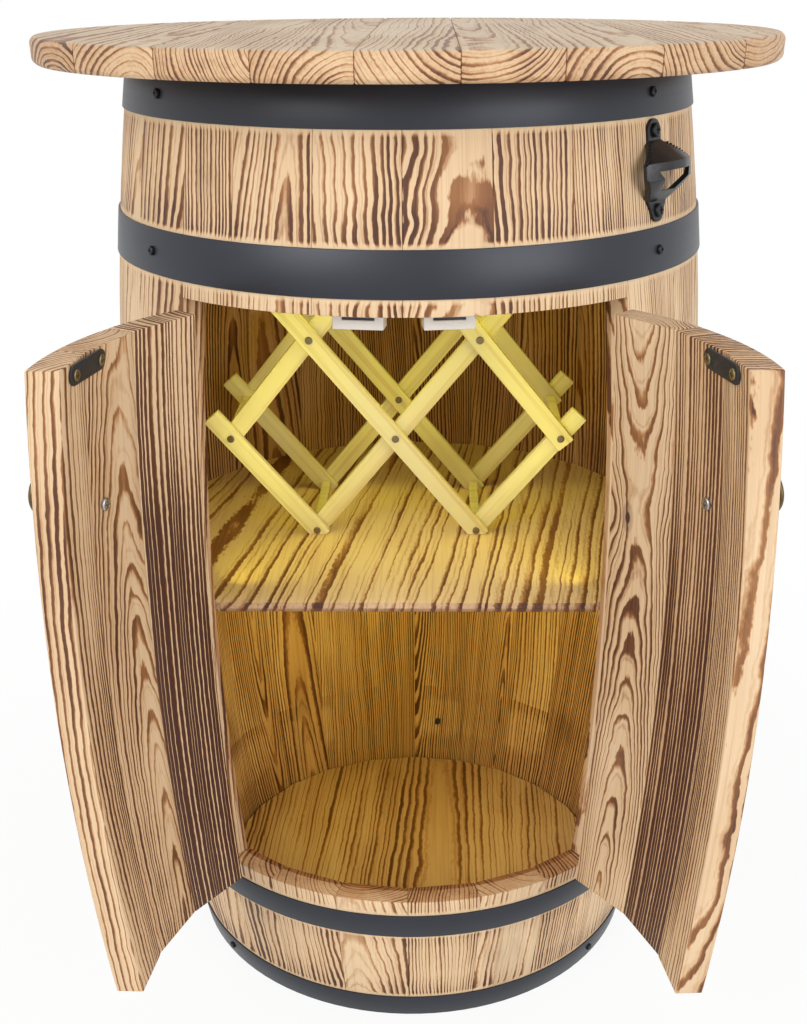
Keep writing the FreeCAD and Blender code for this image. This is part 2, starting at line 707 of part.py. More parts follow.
def catch(side, word):
    """A magnetic catch screwed inside the lintel, its lower half in the way of the strike."""
    body = doc.addObject("PartDesign::Body", f"Catch_{word}")
    step = f"({lintel()} + Sizes.door_gap / 2)"
    top = f"({lintel()} + Sizes.catch_rise)"
    low = f"({lintel()} - Sizes.catch_drop)"
    inside = f"({inner_radius(step)} - Sizes.catch_depth)"
    profile = outline(
        body,
        "XZ_Plane",
        "profile",
        [
            (inside, low),
            (f"{inner_radius(low)} - Sizes.catch_setback", low),
            (f"{inner_radius(step)} - Sizes.catch_setback", step),
            (f"{inner_radius(step)} - Sizes.catch_clearance", step),
            (f"{inner_radius(top)} - Sizes.catch_clearance", top),
            (inside, top),
        ],
    )
    pad(body, profile, size("catch_width"), both_ways=True)
    middle = f"({low} + Sizes.catch_drop / 2)"
    face = f"{inner_radius(middle)} - Sizes.catch_setback"
    slot = outline(
        body,
        "XZ_Plane",
        "slot",
        [
            (f"{face} - Sizes.pole_depth", f"{middle} - Sizes.pole_height / 2"),
            (f"{face} + Sizes.pole_depth", f"{middle} - Sizes.pole_height / 2"),
            (f"{face} + Sizes.pole_depth", f"{middle} + Sizes.pole_height / 2"),
            (f"{face} - Sizes.pole_depth", f"{middle} + Sizes.pole_height / 2"),
        ],
    )
    pocket(body, slot, size("pole_width"))
    place = chain(turned(f"{side} * Sizes.stave_angle / 2"), moved("0", f"{side} * Sizes.catch_shift"))
    node(put(body, place), f"catch_{word}")
    deep = "(Sizes.pole_depth - Sizes.pole_recess)"
    pole_place = chain(place, moved(f"{face} - Sizes.pole_recess - {deep} / 2", "0", middle))
    return box(f"Pole_{word}", deep, size("pole_width"), size("pole_height"), pole_place)


def catches():
    poles = [catch(side, word) for side, word in ((-1, "left"), (1, "right"))]
    node(group(poles, "Poles"), "catch_poles")


def lighting_tape(side, word):
    """A lighting tape along the inner face of a jamb stave, bent with it."""
    tape = doc.addObject("PartDesign::Body", f"Tape_{word}")
    back = "(Sizes.stave_bend_radius - Sizes.stave_thickness - Sizes.tape_clearance)"
    front = f"({back} - Sizes.tape_thickness)"
    half = f"(Sizes.tape_length / 2 / {back} * 180 / pi)"
    profile = outline(
        tape,
        "XZ_Plane",
        "profile",
        [
            (f"{front} * cos({half})", f"-{front} * sin({half})"),
            (f"{back} * cos({half})", f"-{back} * sin({half})"),
            (f"{back} * cos({half})", f"{back} * sin({half})"),
            (f"{front} * cos({half})", f"{front} * sin({half})"),
        ],
        {1: (back, 1), 3: (front, -1)},
    )
    pad(tape, profile, size("tape_width"), both_ways=True)
    bend_centre = moved("Sizes.bilge_radius - Sizes.stave_bend_radius", "0", size("bilge_height"))
    node(put(tape, chain(turned(stave_middle(side, 0)), bend_centre)), f"led_strip_{word}")


def inlet_place():
    """Low on a back stave, on its outer face."""
    return on_stave(stave_middle(1, INLET_STAVE), size("inlet_place"), flat_depth())


def power_inlet():
    """A round socket on a back stave, with a cable sleeve through the stave."""
    body = doc.addObject("PartDesign::Body", "Inlet")
    bore_end = "(Sizes.inlet_height - Sizes.inlet_bore_depth)"
    profile = outline(
        body,
        "XZ_Plane",
        "profile",
        [
            ("0", "-Sizes.inlet_sleeve_length"),
            (size("inlet_sleeve_radius"), "-Sizes.inlet_sleeve_length"),
            (size("inlet_sleeve_radius"), "0"),
            (size("inlet_radius"), "0"),
            (size("inlet_radius"), size("inlet_height")),
            (size("inlet_bore_radius"), size("inlet_height")),
            (size("inlet_bore_radius"), bore_end),
            ("0", bore_end),
        ],
    )
    revolve(body, profile)
    node(put(body, inlet_place()), "power_inlet")


# ---------------------------------------------------------------- hinges


def leaf(name, side, frame_side):
    """One leaf of a lift-off hinge: the frame's has the pin and lower knuckle, the door's the upper.

    Local X points out of its stave, local Y away from the pin over the stave that carries it
    on the right-hand side, and the pin is at 0, 0.
    """
    body = doc.addObject("PartDesign::Body", name)
    way = side if frame_side else -side
    seat = "(-Sizes.hinge_seat_depth)"
    face = "(-Sizes.hinge_seat_depth + Sizes.hinge_leaf_thickness)"
    corners = [(seat, "0"), (face, "0"), (face, "Sizes.hinge_leaf_width"), (seat, "Sizes.hinge_leaf_width")]
    if way < 0:
        corners = [(x, f"-{y}") for x, y in corners]
    tall = size("hinge_height")
    pad(body, outline(body, "XY_Plane", "plate", corners), tall, both_ways=True)
    knuckle = circle(body, "XY_Plane", "knuckle", "0", "0", size("hinge_knuckle_radius"))
    pad(body, knuckle, tall, both_ways=True)
    reach = "(2 * Sizes.hinge_knuckle_radius)"
    end = f"({1 if frame_side else -1} * {tall})"
    joint = f"({-1 if frame_side else 1} * Sizes.hinge_knuckle_gap / 2)"
    room = outline(
        body,
        "XZ_Plane",
        "room",
        [(f"-{reach}", joint), (reach, joint), (reach, end), (f"-{reach}", end)],
    )
    pocket(body, room, "2 * (Sizes.hinge_knuckle_radius + Sizes.hinge_relief)")
    if frame_side:
        pin = circle(body, "XY_Plane", "pin", "0", "0", size("hinge_pin_radius"))
        pad(body, pin, tall, both_ways=True)
    else:
        bore = circle(body, "XY_Plane", "bore", "0", "0", "Sizes.hinge_pin_radius + Sizes.hinge_bore_clearance")
        pocket(body, bore, f"2 * {tall}")
    return body


def hinges():
    """Two lift-off hinges to each door, outside the barrel, their leaves let into the staves."""
    for side, word in ((-1, "left"), (1, "right")):
        for frame_side, owner in ((True, "frame"), (False, "door")):
            leaves = []
            for level in (-1, 1):
                height = f"Sizes.bilge_height + {level} * Sizes.hinge_spacing / 2"
                place = pin_frame(side, frame_side, height)
                body = leaf(f"Leaf_{word}_{owner}_{level + 2}", side, frame_side)
                leaves.append(put(body, place if frame_side else chain(swing(side), place)))
            node(group(leaves, f"Leaves_{word}_{owner}"), f"hinge_{owner}_leaves_{word}")


# ---------------------------------------------------------------- doors


def knob(side, word):
    """A round knob on a neck, screwed on from inside the door."""
    body = doc.addObject("PartDesign::Body", f"Knob_{word}")
    underside = "(Sizes.knob_height - Sizes.knob_head_thickness)"
    profile = outline(
        body,
        "XZ_Plane",
        "profile",
        [
            ("0", "0"),
            (size("knob_neck_radius"), "0"),
            (size("knob_neck_radius"), underside),
            (size("knob_radius"), underside),
            (size("knob_radius"), size("knob_height")),
            ("0", size("knob_height")),
        ],
    )
    revolve(body, profile)
    middle = f"{side} * (Sizes.doorway_half_angle - 1.5 * Sizes.stave_angle)"
    place = on_stave(middle, size("knob_place"), flat_depth(), f"-{side} * Sizes.knob_shift")
    node(put(body, chain(swing(side), place)), f"knob_{word}")


def strike(side, word):
    """A round-ended steel plate inside the door, across the joint of two staves."""
    body = doc.addObject("PartDesign::Body", f"Strike_{word}")
    radius = "(Sizes.strike_width / 2)"
    straight = f"(Sizes.strike_length / 2 - {radius})"
    plate = outline(
        body,
        "XY_Plane",
        "plate",
        [
            (f"-{radius}", f"-{straight}"),
            (radius, f"-{straight}"),
            (radius, straight),
            (f"-{radius}", straight),
        ],
        {0: (radius, 1), 2: (radius, 1)},
    )
    pad(body, plate, size("strike_thickness"))
    narrow = "(Sizes.doorway_half_angle - 2 * Sizes.stave_angle)"
    near = f"(Sizes.strike_angle - {narrow} / 2)"
    far = f"({narrow} + Sizes.stave_angle / 2 - Sizes.strike_angle)"
    level = f"({lintel()} - Sizes.strike_drop)"
    face = inner_radius(level)
    ends = [f"({face} - Sizes.strike_length / 2 * sin({turn})) / cos({turn})" for turn in (near, far)]
    sunk = f"({face} - min({ends[0]}; {ends[1]}) + Sizes.strike_clearance + Sizes.strike_thickness)"
    lying = on_stave(f"{side} * Sizes.strike_angle", level, size("stave_thickness"))
    place = chain(swing(side), lying, moved("0", "0", f"-{sunk}"))
    node(put(body, place), f"strike_{word}")


def doors():
    """Two doors of three staves each, the narrow one at the free edge."""
    low = "(Sizes.sill_height + Sizes.door_gap)"
    high = f"({lintel()} - Sizes.door_gap)"
    full = size("stave_angle")
    edge_gap = size("door_edge_gap")
    for side, word in ((-1, "left"), (1, "right")):
        narrow = f"({size('doorway_half_angle')} - 2 * {full})"
        spans = (
            ("free", "0", narrow),
            ("middle", narrow, full),
            ("hinge", f"({narrow} + {full})", full),
        )
        for place, start, angle in spans:
            start, angle = trimmed(place, start, angle, edge_gap)
            first = start if side > 0 else f"-({start}) - ({angle})"
            body = stave(f"DoorStave_{word}_{place}", first, angle, low, high)
            if place == "hinge":
                seats = mortise(f"DoorMortise_{word}", side, False)
                body = put(cut(body, seats, f"DoorStave_{word}_cut"), swing(side))
            else:
                put(body, chain(swing(side), turned(f"({first}) + ({angle}) / 2")))
            node(body, f"door_{word}_{place}_stave")
        strike(side, word)
        knob(side, word)


def trimmed(place, start, angle, edge_gap):
    """A door stave's start and angle, less the running gap at the door's free or hinge edge."""
    if place == "middle":
        return start, angle
    narrower = f"({angle} - {edge_gap} / 2)"
    return (f"({start} + {edge_gap} / 2)" if place == "free" else start), narrower


# ---------------------------------------------------------------- bottle opener


def bottle_opener():
    """A cast opener: a bent plate with two screwed ends, a wide hood and a mouth under it."""
    side_view = doc.addObject("PartDesign::Body", "OpenerBend")
    lug = size("opener_lug_radius")
    end = f"({size('opener_screw_spacing')} / 2 + {lug})"
    flat = f"({size('opener_screw_spacing')} / 2 - {lug})"
    metal = size("opener_plate")
    reach = size("opener_reach")
    brow = f"({size('opener_mouth_height')} / 3)"
    bend = outline(
        side_view,
        "XZ_Plane",
        "bend",
        [
            (f"-{end}", "0"),
            (f"-{flat}", "0"),
            (f"-{brow}", f"{reach} - {metal}"),
            (f"{brow}", f"{reach} - {metal}"),
            (flat, "0"),
            (end, "0"),
            (end, metal),
            (f"{flat} + {metal} / 4", metal),
            (f"{brow} + {metal} / 4", reach),
            (f"-{brow} - {metal} / 4", reach),
            (f"-{flat} - {metal} / 4", metal),
            (f"-{end}", metal),
        ],
    )
    pad(side_view, bend, size("opener_width"), both_ways=True)
    front_view = doc.addObject("PartDesign::Body", "OpenerShield")
    half = f"({size('opener_width')} / 2)"
    spread = f"({lug} + Sizes.opener_shoulder)"
    shield = outline(
        front_view,
        "XY_Plane",
        "shield",
        [
            (f"-{flat} - {lug}", f"-{lug}"),
            (f"-{flat}", f"-{lug}"),
            (f"-{brow}", f"-{half}"),
            (f"{brow}", f"-{half}"),
            (flat, f"-{spread}"),
            (f"{flat} + {lug}", f"-{lug}"),
            (f"{flat} + {lug}", lug),
            (flat, spread),
            (f"{brow}", half),
            (f"-{brow}", half),
            (f"-{flat}", lug),
            (f"-{flat} - {lug}", lug),
        ],
        {5: (lug, 1), 11: (lug, 1)},
    )
    pad(front_view, shield, f"2 * {reach}", both_ways=True)
    mouth_width = size("opener_mouth_width")
    mouth = outline(
        front_view,
        "XY_Plane",
        "mouth",
        [
            ("0", f"-{mouth_width} / 2"),
            (size("opener_mouth_height"), f"-{mouth_width} / 4"),
            (size("opener_mouth_height"), f"{mouth_width} / 4"),
            ("0", f"{mouth_width} / 2"),
        ],
    )
    pocket(front_view, mouth, f"4 * {reach}")
    for index, way in enumerate((-1, 1)):
        place = f"{way} * Sizes.opener_screw_spacing / 2"
        hole = circle(front_view, "XY_Plane", f"hole{index}", place, "0", size("opener_hole_radius"))
        pocket(front_view, hole, f"4 * {reach}")
    level = "(Sizes.barrel_height - Sizes.opener_drop)"
    place = on_stave(stave_middle(1, 0), level, flat_depth(), size("opener_shift"))
    common = doc.addObject("Part::Common", "Opener")
    common.Base = side_view
    common.Tool = front_view
    node(put(common, place), "bottle_opener")


# ---------------------------------------------------------------- the whole cabinet

shell_staves()
short_staves("upper", lintel(), size("barrel_height"))
short_staves("lower", "0", size("sill_height"))
table_top()
fitted_boards()
hoops()
shelf()
bottle_rack()
catches()
lighting_tape(-1, "left")
lighting_tape(1, "right")
power_inlet()
hinges()
doors()
bottle_opener()

doc.recompute()

faults = []
for thing in doc.Objects:
    if "Invalid" in thing.State or "Error" in thing.State:
        faults.append(f"{thing.Name}: {thing.State}")
for thing in nodes:
    if thing.Shape.isNull() or not thing.Shape.isValid() or not thing.Shape.Solids:
        faults.append(f"{thing.Label}: no sound solid")
if faults:
    raise RuntimeError("; ".join(faults))

os.makedirs("parts", exist_ok=True)
for thing in nodes:
    thing.Shape.exportStep(f"parts/{thing.Label}.step")
print(f"{len(nodes)} nodes, {sum(len(thing.Shape.Solids) for thing in nodes)} solids")
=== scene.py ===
# %% [markdown]
# # A barrel bar cabinet
#
# The cabinet is a coopered barrel: bent wooden staves under steel hoops, a round boarded
# table on top and two doors cut out of the shell. The construction model is already there as
# a fixed frame. This lesson dresses it: every visible piece gets its finer shape and its
# finish. Lengths are in metres, +Z is up and the doorway faces -Y.

# %% Load the construction model
import bpy
import math
from mathutils import Matrix, Vector


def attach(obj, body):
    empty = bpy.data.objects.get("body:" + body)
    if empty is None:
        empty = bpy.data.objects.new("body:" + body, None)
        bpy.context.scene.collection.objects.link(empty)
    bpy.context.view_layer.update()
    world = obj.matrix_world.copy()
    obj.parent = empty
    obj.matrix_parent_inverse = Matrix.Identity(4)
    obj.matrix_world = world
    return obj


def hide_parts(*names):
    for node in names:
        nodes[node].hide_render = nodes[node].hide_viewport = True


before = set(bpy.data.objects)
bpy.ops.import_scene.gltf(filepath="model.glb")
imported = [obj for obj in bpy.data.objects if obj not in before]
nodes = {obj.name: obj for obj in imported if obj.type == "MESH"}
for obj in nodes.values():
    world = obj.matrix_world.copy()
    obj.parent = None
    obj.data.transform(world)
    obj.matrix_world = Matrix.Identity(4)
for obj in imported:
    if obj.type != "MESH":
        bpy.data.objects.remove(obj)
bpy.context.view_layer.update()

# %% [markdown]
# ## Sizes that the dressing shares with the construction
#
# A barrel is easiest to describe with angles round its axis, in degrees and counted from the
# middle of the doorway. The staves are boards bent to one long arc, so one small function
# gives the barrel's radius at any height. The doors are stored open: one matrix swings a shut
# door out, and its inverse brings the door back to its place in the shell.

# %% Barrel sizes
BILGE_RADIUS = 0.250
BILGE_HEIGHT = 0.376
BEND_RADIUS = 2.200
STAVE_THICKNESS = 0.022
STAVE_ANGLE = 15.3
DOORWAY = 42.3
NARROW_STAVE = DOORWAY - 2 * STAVE_ANGLE
SILL = 0.147
DOOR_EDGE_GAP = 0.35
PIN_RADIUS = 0.2505
OPENING = {"left": -91.0, "right": 93.0}
SIDES = {"left": -1, "right": 1}


def bow(height):
    """The barrel's outside radius at a height."""
    rise = height - BILGE_HEIGHT
    return BILGE_RADIUS - BEND_RADIUS + math.sqrt(BEND_RADIUS**2 - rise**2)


def outward(angle):
    """The direction away from the barrel's axis at an angle from the doorway's middle."""
    turn = math.radians(angle)
    return Vector((math.sin(turn), -math.cos(turn), 0))


def swing(word):
    """The matrix that opens a shut door."""
    pin = outward(SIDES[word] * DOORWAY) * PIN_RADIUS
    turn = Matrix.Rotation(math.radians(OPENING[word]), 4, "Z")
    return Matrix.Translation(pin) @ turn @ Matrix.Translation(-pin)


def on_stave(angle, height, depth=0.0, shift=0.0):
    """Placement on the shell's outside: Z square out of it, X down, Y round the barrel."""
    bend = BEND_RADIUS - depth
    lean = math.asin((height - BILGE_HEIGHT) / bend)
    out = outward(angle)
    across = Vector((-out.y, out.x, 0))
    normal = out * math.cos(lean) + Vector((0, 0, math.sin(lean)))
    down = across.cross(normal)
    radial = BILGE_RADIUS - BEND_RADIUS + bend * math.cos(lean)
    place = out * radial + across * shift + Vector((0, 0, BILGE_HEIGHT + bend * math.sin(lean)))
    turned = Matrix((down, across, normal)).transposed().to_4x4()
    return Matrix.Translation(place) @ turned


print("radius at the foot:", round(bow(0.0), 4), "at the table:", round(bow(0.782), 4))

# %% [markdown]
# ## The camera
#
# The cabinet is seen from the front and from a little above the table, so that the rim
# shows as a slim ellipse and the sill inside the doorway still shows. The camera looks down
# and its lens is shifted up, which puts the cabinet in the middle of the frame.

# %% Camera
FRAME_HEIGHT = 1024
FOCAL_PIXELS = 1271.2
FILM_HEIGHT = 36.0
LENS_SHIFT = (-0.0097, 0.1813)
CAMERA_PLACE = (0.02007, -1.09443, 0.84022)
CAMERA_TURN = 0.954
CAMERA_DOWN = 29.822
CAMERA_ROLL = -0.31

scene = bpy.context.scene
camera_data = bpy.data.cameras.new("Camera")
camera_data.sensor_fit = "VERTICAL"
camera_data.sensor_height = FILM_HEIGHT
camera_data.lens = FOCAL_PIXELS * FILM_HEIGHT / FRAME_HEIGHT
camera_data.shift_x, camera_data.shift_y = LENS_SHIFT
camera = bpy.data.objects.new("Camera", camera_data)
scene.collection.objects.link(camera)
turn = Matrix.Rotation(math.radians(CAMERA_TURN), 4, "Z")
tilt = Matrix.Rotation(math.radians(90 - CAMERA_DOWN), 4, "X")
roll = Matrix.Rotation(math.radians(CAMERA_ROLL), 4, "Z")
camera.matrix_world = Matrix.Translation(CAMERA_PLACE) @ turn @ tilt @ roll
scene.camera = camera
print("lens", round(camera_data.lens, 2), "mm")

# %% [markdown]
# ## Shader sums as plain Python
#
# Wood grain is mostly arithmetic on a point's place. Placing Math nodes by hand hides that
# arithmetic, so a small class wraps an output socket and lets Python's own operators add the
# nodes. A comparison gives 1 where it is true and 0 elsewhere, so it serves as a mask. Every
# other node comes from one method of the tree that it stands in.

# %% A socket that can be added and multiplied


class Socket:
    """An output of a shader node that takes part in sums."""

    def __init__(self, tree, output):
        self.tree = tree
        self.output = output

    def sum(self, operation, *others):
        """A Math node on this socket and others."""
        return self.tree.add("ShaderNodeMath", {"operation": operation}, self, *others)

    def __add__(self, other):
        return self.sum("ADD", other)

    __radd__ = __add__

    def __mul__(self, other):
        return self.sum("MULTIPLY", other)

    __rmul__ = __mul__

    def __sub__(self, other):
        return self.sum("SUBTRACT", other)

    def __rsub__(self, other):
        return self.tree.add("ShaderNodeMath", {"operation": "SUBTRACT"}, other, self)

    def __truediv__(self, other):
        return self.sum("DIVIDE", other)

    def __gt__(self, other):
        return self.sum("GREATER_THAN", other)

    def __lt__(self, other):
        return self.sum("LESS_THAN", other)

    def floor(self):
        return self.sum("FLOOR")

    def fraction(self):
        """What is over the last whole number."""
        return self.sum("FRACT")

    def root(self):
        return self.sum("SQRT")

    def size(self):
        """The same without its sign."""
        return self.sum("ABSOLUTE")

    def clamped(self):
        """Kept between 0 and 1."""
        return self.tree.add("ShaderNodeClamp", {}, self, 0.0, 1.0)


print("signs that a socket knows: + - * / < >")

# %% [markdown]
# ### A tree of nodes
#
# Nodes stand in a tree: a material has one, and so has the world. This class adds a node of
# any kind to a tree. Sockets are named as in Blender's own window, with an underscore for
# each blank.

# %% A tree that nodes are added to


class Tree:
    """A tree of shader nodes, empty at first."""

    def __init__(self, node_tree):
        self.nodes = node_tree.nodes
        self.links = node_tree.links
        self.nodes.clear()

    def node(self, kind, settings, *values, **named):
        """A node of a kind: its settings first, then its sockets by place or by name."""
        node = self.nodes.new(kind)
        for name, setting in settings.items():
            if name == "stops":
                self.set_stops(node.color_ramp, setting)
            else:
                setattr(node, name, setting)
        for place, value in enumerate(values):
            self.feed(node.inputs[place], value)
        for name, value in named.items():
            self.feed(node.inputs[name.replace("_", " ")], value)
        return node

    def add(self, kind, settings, *values, output=0, **named):
        """A node as above, given back as one of its outputs."""
        return Socket(self, self.node(kind, settings, *values, **named).outputs[output])

    def feed(self, socket, value):
        """Links a socket to another one, or gives it a fixed value."""
        if isinstance(value, Socket):
            self.links.new(value.output, socket)
        else:
            socket.default_value = value

    def set_stops(self, ramp, stops):
        """Gives a colour ramp its stops, each a place from 0 to 1 and a colour."""
        while len(ramp.elements) > 1:
            ramp.elements.remove(ramp.elements[-1])
        for index, (place, shade) in enumerate(stops):
            stop = ramp.elements[0] if index == 0 else ramp.elements.new(place)
            stop.position = place
            stop.color = shade

    def seen(self):
        """1 for rays from the camera, through glass or off a mirror, and 0 for the others."""
        paths = self.node("ShaderNodeLightPath", {})
        kinds = ("Is Camera Ray", "Is Transmission Ray", "Is Glossy Ray")
        direct, passed, mirrored = (Socket(self, paths.outputs[kind]) for kind in kinds)
        return direct.sum("MAXIMUM", passed).sum("MAXIMUM", mirrored)


print("a tree can:", [name for name in vars(Tree) if not name.startswith("_")])

# %% [markdown]
# ## Light
#
# Two large soft lamps in front, one on each side, and a weaker one overhead stand for a plain
# studio. The world adds an even level from everywhere. Rays from the camera, and those
# mirrored in steel, see it as white.

# %% The world around
WHITE_LIGHT = (1.0, 1.0, 1.0, 1.0)
ROOM_TINT = (1.0, 0.99, 0.98, 1.0)
ROOM_LEVEL = 0.50

scene.view_settings.view_transform = "Standard"
world = bpy.data.worlds.new("Studio")
scene.world = world
world.use_nodes = True
room = Tree(world.node_tree)
lighting = room.add("ShaderNodeBackground", {}, ROOM_TINT, ROOM_LEVEL)
backdrop = room.add("ShaderNodeBackground", {}, WHITE_LIGHT, 1.0)
room.node("ShaderNodeOutputWorld", {}, room.add("ShaderNodeMixShader", {}, room.seen(), lighting, backdrop))
print("the room's own light:", ROOM_LEVEL)

# %% [markdown]
# ### Studio lamps
#
# A lamp is a rectangle that glows to one side. A large one gives soft shadows. One function
# makes them all, because a lamp is easiest to aim by naming the point that it looks at. The
# left lamp is the stronger and warmer one, so that the barrel's roundness shows.

# %% Studio lamps


def area_lamp(name, place, target, width, height, power, tint):
    """A rectangular lamp, in metres and watts, that looks at a point."""
    data = bpy.data.lights.new(name, "AREA")
    data.shape = "RECTANGLE"
    data.size = width
    data.size_y = height
    data.energy = power
    data.color = tint
    lamp = bpy.data.objects.new(name, data)
    scene.collection.objects.link(lamp)
    aim = (Vector(target) - Vector(place)).to_track_quat("-Z", "Y")
    lamp.matrix_world = Matrix.Translation(place) @ aim.to_matrix().to_4x4()
    return lamp


CABINET_MIDDLE = (0, 0, 0.4)
CABINET_TOP = (0, 0, 0.6)
LARGE = 1.6
MEDIUM = 1.4
area_lamp("KeyLamp", (-1.5, -2.2, 1.9), CABINET_MIDDLE, LARGE, LARGE, 42, (1.0, 0.98, 0.95))
area_lamp("FillLamp", (1.7, -1.9, 1.3), CABINET_MIDDLE, LARGE, LARGE, 31, (0.97, 0.98, 1.0))
area_lamp("TopLamp", (0.0, 0.6, 2.4), CABINET_TOP, MEDIUM, MEDIUM, 8, (1, 1, 1))

# %% [markdown]
# ## A finish
#
# A finish is a material: a Principled shader and whatever feeds it. Its methods are the few
# kinds of nodes that this object's materials need.

# %% A material and its nodes


class Finish(Tree):
    """A material and its tree of nodes."""

    def __init__(self, name):
        self.material = bpy.data.materials.new(name)
        self.material.use_nodes = True
        super().__init__(self.material.node_tree)
        self.shader = self.node("ShaderNodeBsdfPrincipled", {})
        self.result = self.node("ShaderNodeOutputMaterial", {}, Socket(self, self.shader.outputs[0]))

    def set(self, **values):
        """Feeds the shader's own sockets."""
        for name, value in values.items():
            self.feed(self.shader.inputs[name.replace("_", " ")], value)

    def place(self):
        """A point's place on the object."""
        return self.add("ShaderNodeTexCoord", {}, output="Object")

    def turned(self, place, angle, shift=(0.0, 0.0, 0.0)):
        """A place turned round one axis after another, in radians, and then shifted."""
        return self.add("ShaderNodeMapping", {"vector_type": "POINT"}, place, shift, angle)

    def parts(self, vector):
        """The three numbers of a vector."""
        node = self.node("ShaderNodeSeparateXYZ", {}, vector)
        return [Socket(self, output) for output in node.outputs]

    def vector(self, x, y, z):
        """A vector of three numbers."""
        return self.add("ShaderNodeCombineXYZ", {}, x, y, z)

    def noise(self, vector, scale, detail, roughness):
        """Soft clouds from 0 to 1, mostly near 0.5."""
        settings = dict(Scale=scale, Detail=detail, Roughness=roughness)
        return self.add("ShaderNodeTexNoise", {}, Vector=vector, **settings)

    def die(self, number, output="Value"):
        """A random number from 0 to 1, always the same one for a number."""
        kind = {"noise_dimensions": "1D"}
        return self.add("ShaderNodeTexWhiteNoise", kind, W=number, output=output)

    def dice(self, number):
        """Three random numbers at once."""
        return self.parts(self.die(number, "Color"))

    def ramp(self, value, stops):
        """The colour of a ramp at a value."""
        return self.add("ShaderNodeValToRGB", {"stops": stops}, value)

    def mix(self, factor, first, second, blend="MIX"):
        """Two colours mixed. The Mix node keeps its colours in its sockets 6 and 7."""
        node = self.node("ShaderNodeMix", {"data_type": "RGBA", "blend_type": blend}, factor)
        self.feed(node.inputs[6], first)
        self.feed(node.inputs[7], second)
        return Socket(self, node.outputs[2])

    def bump(self, height, strength, distance):
        """The tilt that a height gives the surface."""
        return self.add("ShaderNodeBump", {}, Strength=strength, Distance=distance, Height=height)


print("a finish can:", [name for name in vars(Finish) if not name.startswith("_")])

# %% [markdown]
# ### Colours
#
# A colour is easiest to write as in a paint catalogue, two characters each for red, green and
# blue. Blender's sockets want it as linear light, so a small function converts it.

# %% Colours


def colour(code):
    """A colour written as in a paint catalogue, as linear light."""
    parts = [int(code[index : index + 2], 16) / 255 for index in (0, 2, 4)]
    linear = [part / 12.92 if part <= 0.04045 else ((part + 0.055) / 1.055) ** 2.4 for part in parts]
    return (*linear, 1.0)


def grey(value):
    """A shade between black, 0, and white, 1."""
    return (value, value, value, 1.0)


print("a shade of spruce as linear light:", [round(value, 3) for value in colour("e9d7bc")])

# %% [markdown]
# ## Flamed and brushed spruce
#
# A board shows growth rings where its faces cut the trunk's nested cylinders. So the pattern
# is worked out in three dimensions: how far a point is from the pith, the trunk's own middle,
# which lies somewhere beside or behind the board and leans a little along it. A lean makes
# the pointed arches that a flat-sawn board has, and a pith far to the side makes straight
# lines. The flame darkens the hard end of each ring, and the wire brush digs out the soft
# part, which the bump follows. The same field also draws the arcs on the end grain. Six
# shades lead from bare wood to char.

# %% Shades of flamed spruce
CREAM = colour("e9d7bc")
STRAW = colour("dcc19c")
TAN = colour("be8f60")
BROWN = colour("8f613d")
UMBER = colour("70492f")
CHAR = colour("482c22")
print("the hardest burnt shade as linear light:", [round(value, 3) for value in CHAR])

# %% [markdown]
# ### The rings' field
#
# Noise of several sizes bends the rings: a slow drift for the trunk's own bends, a waver and
# a ripple for its knots and its bark, a rasp for the torn fibres. Then come the flame's
# clouds, which burn one place of a board more than the next. Lengths below are in metres, and
# the plain numbers inside the sums are weights.

# %% Growth rings
DRIFT_SIDE = 0.030
DRIFT_BACK = 0.014
WAVER = 0.0034
RIPPLE = 0.0022
UNEVEN_RINGS = 2.6
RASPED = 0.22
FOLD_ROUNDING = 0.0012


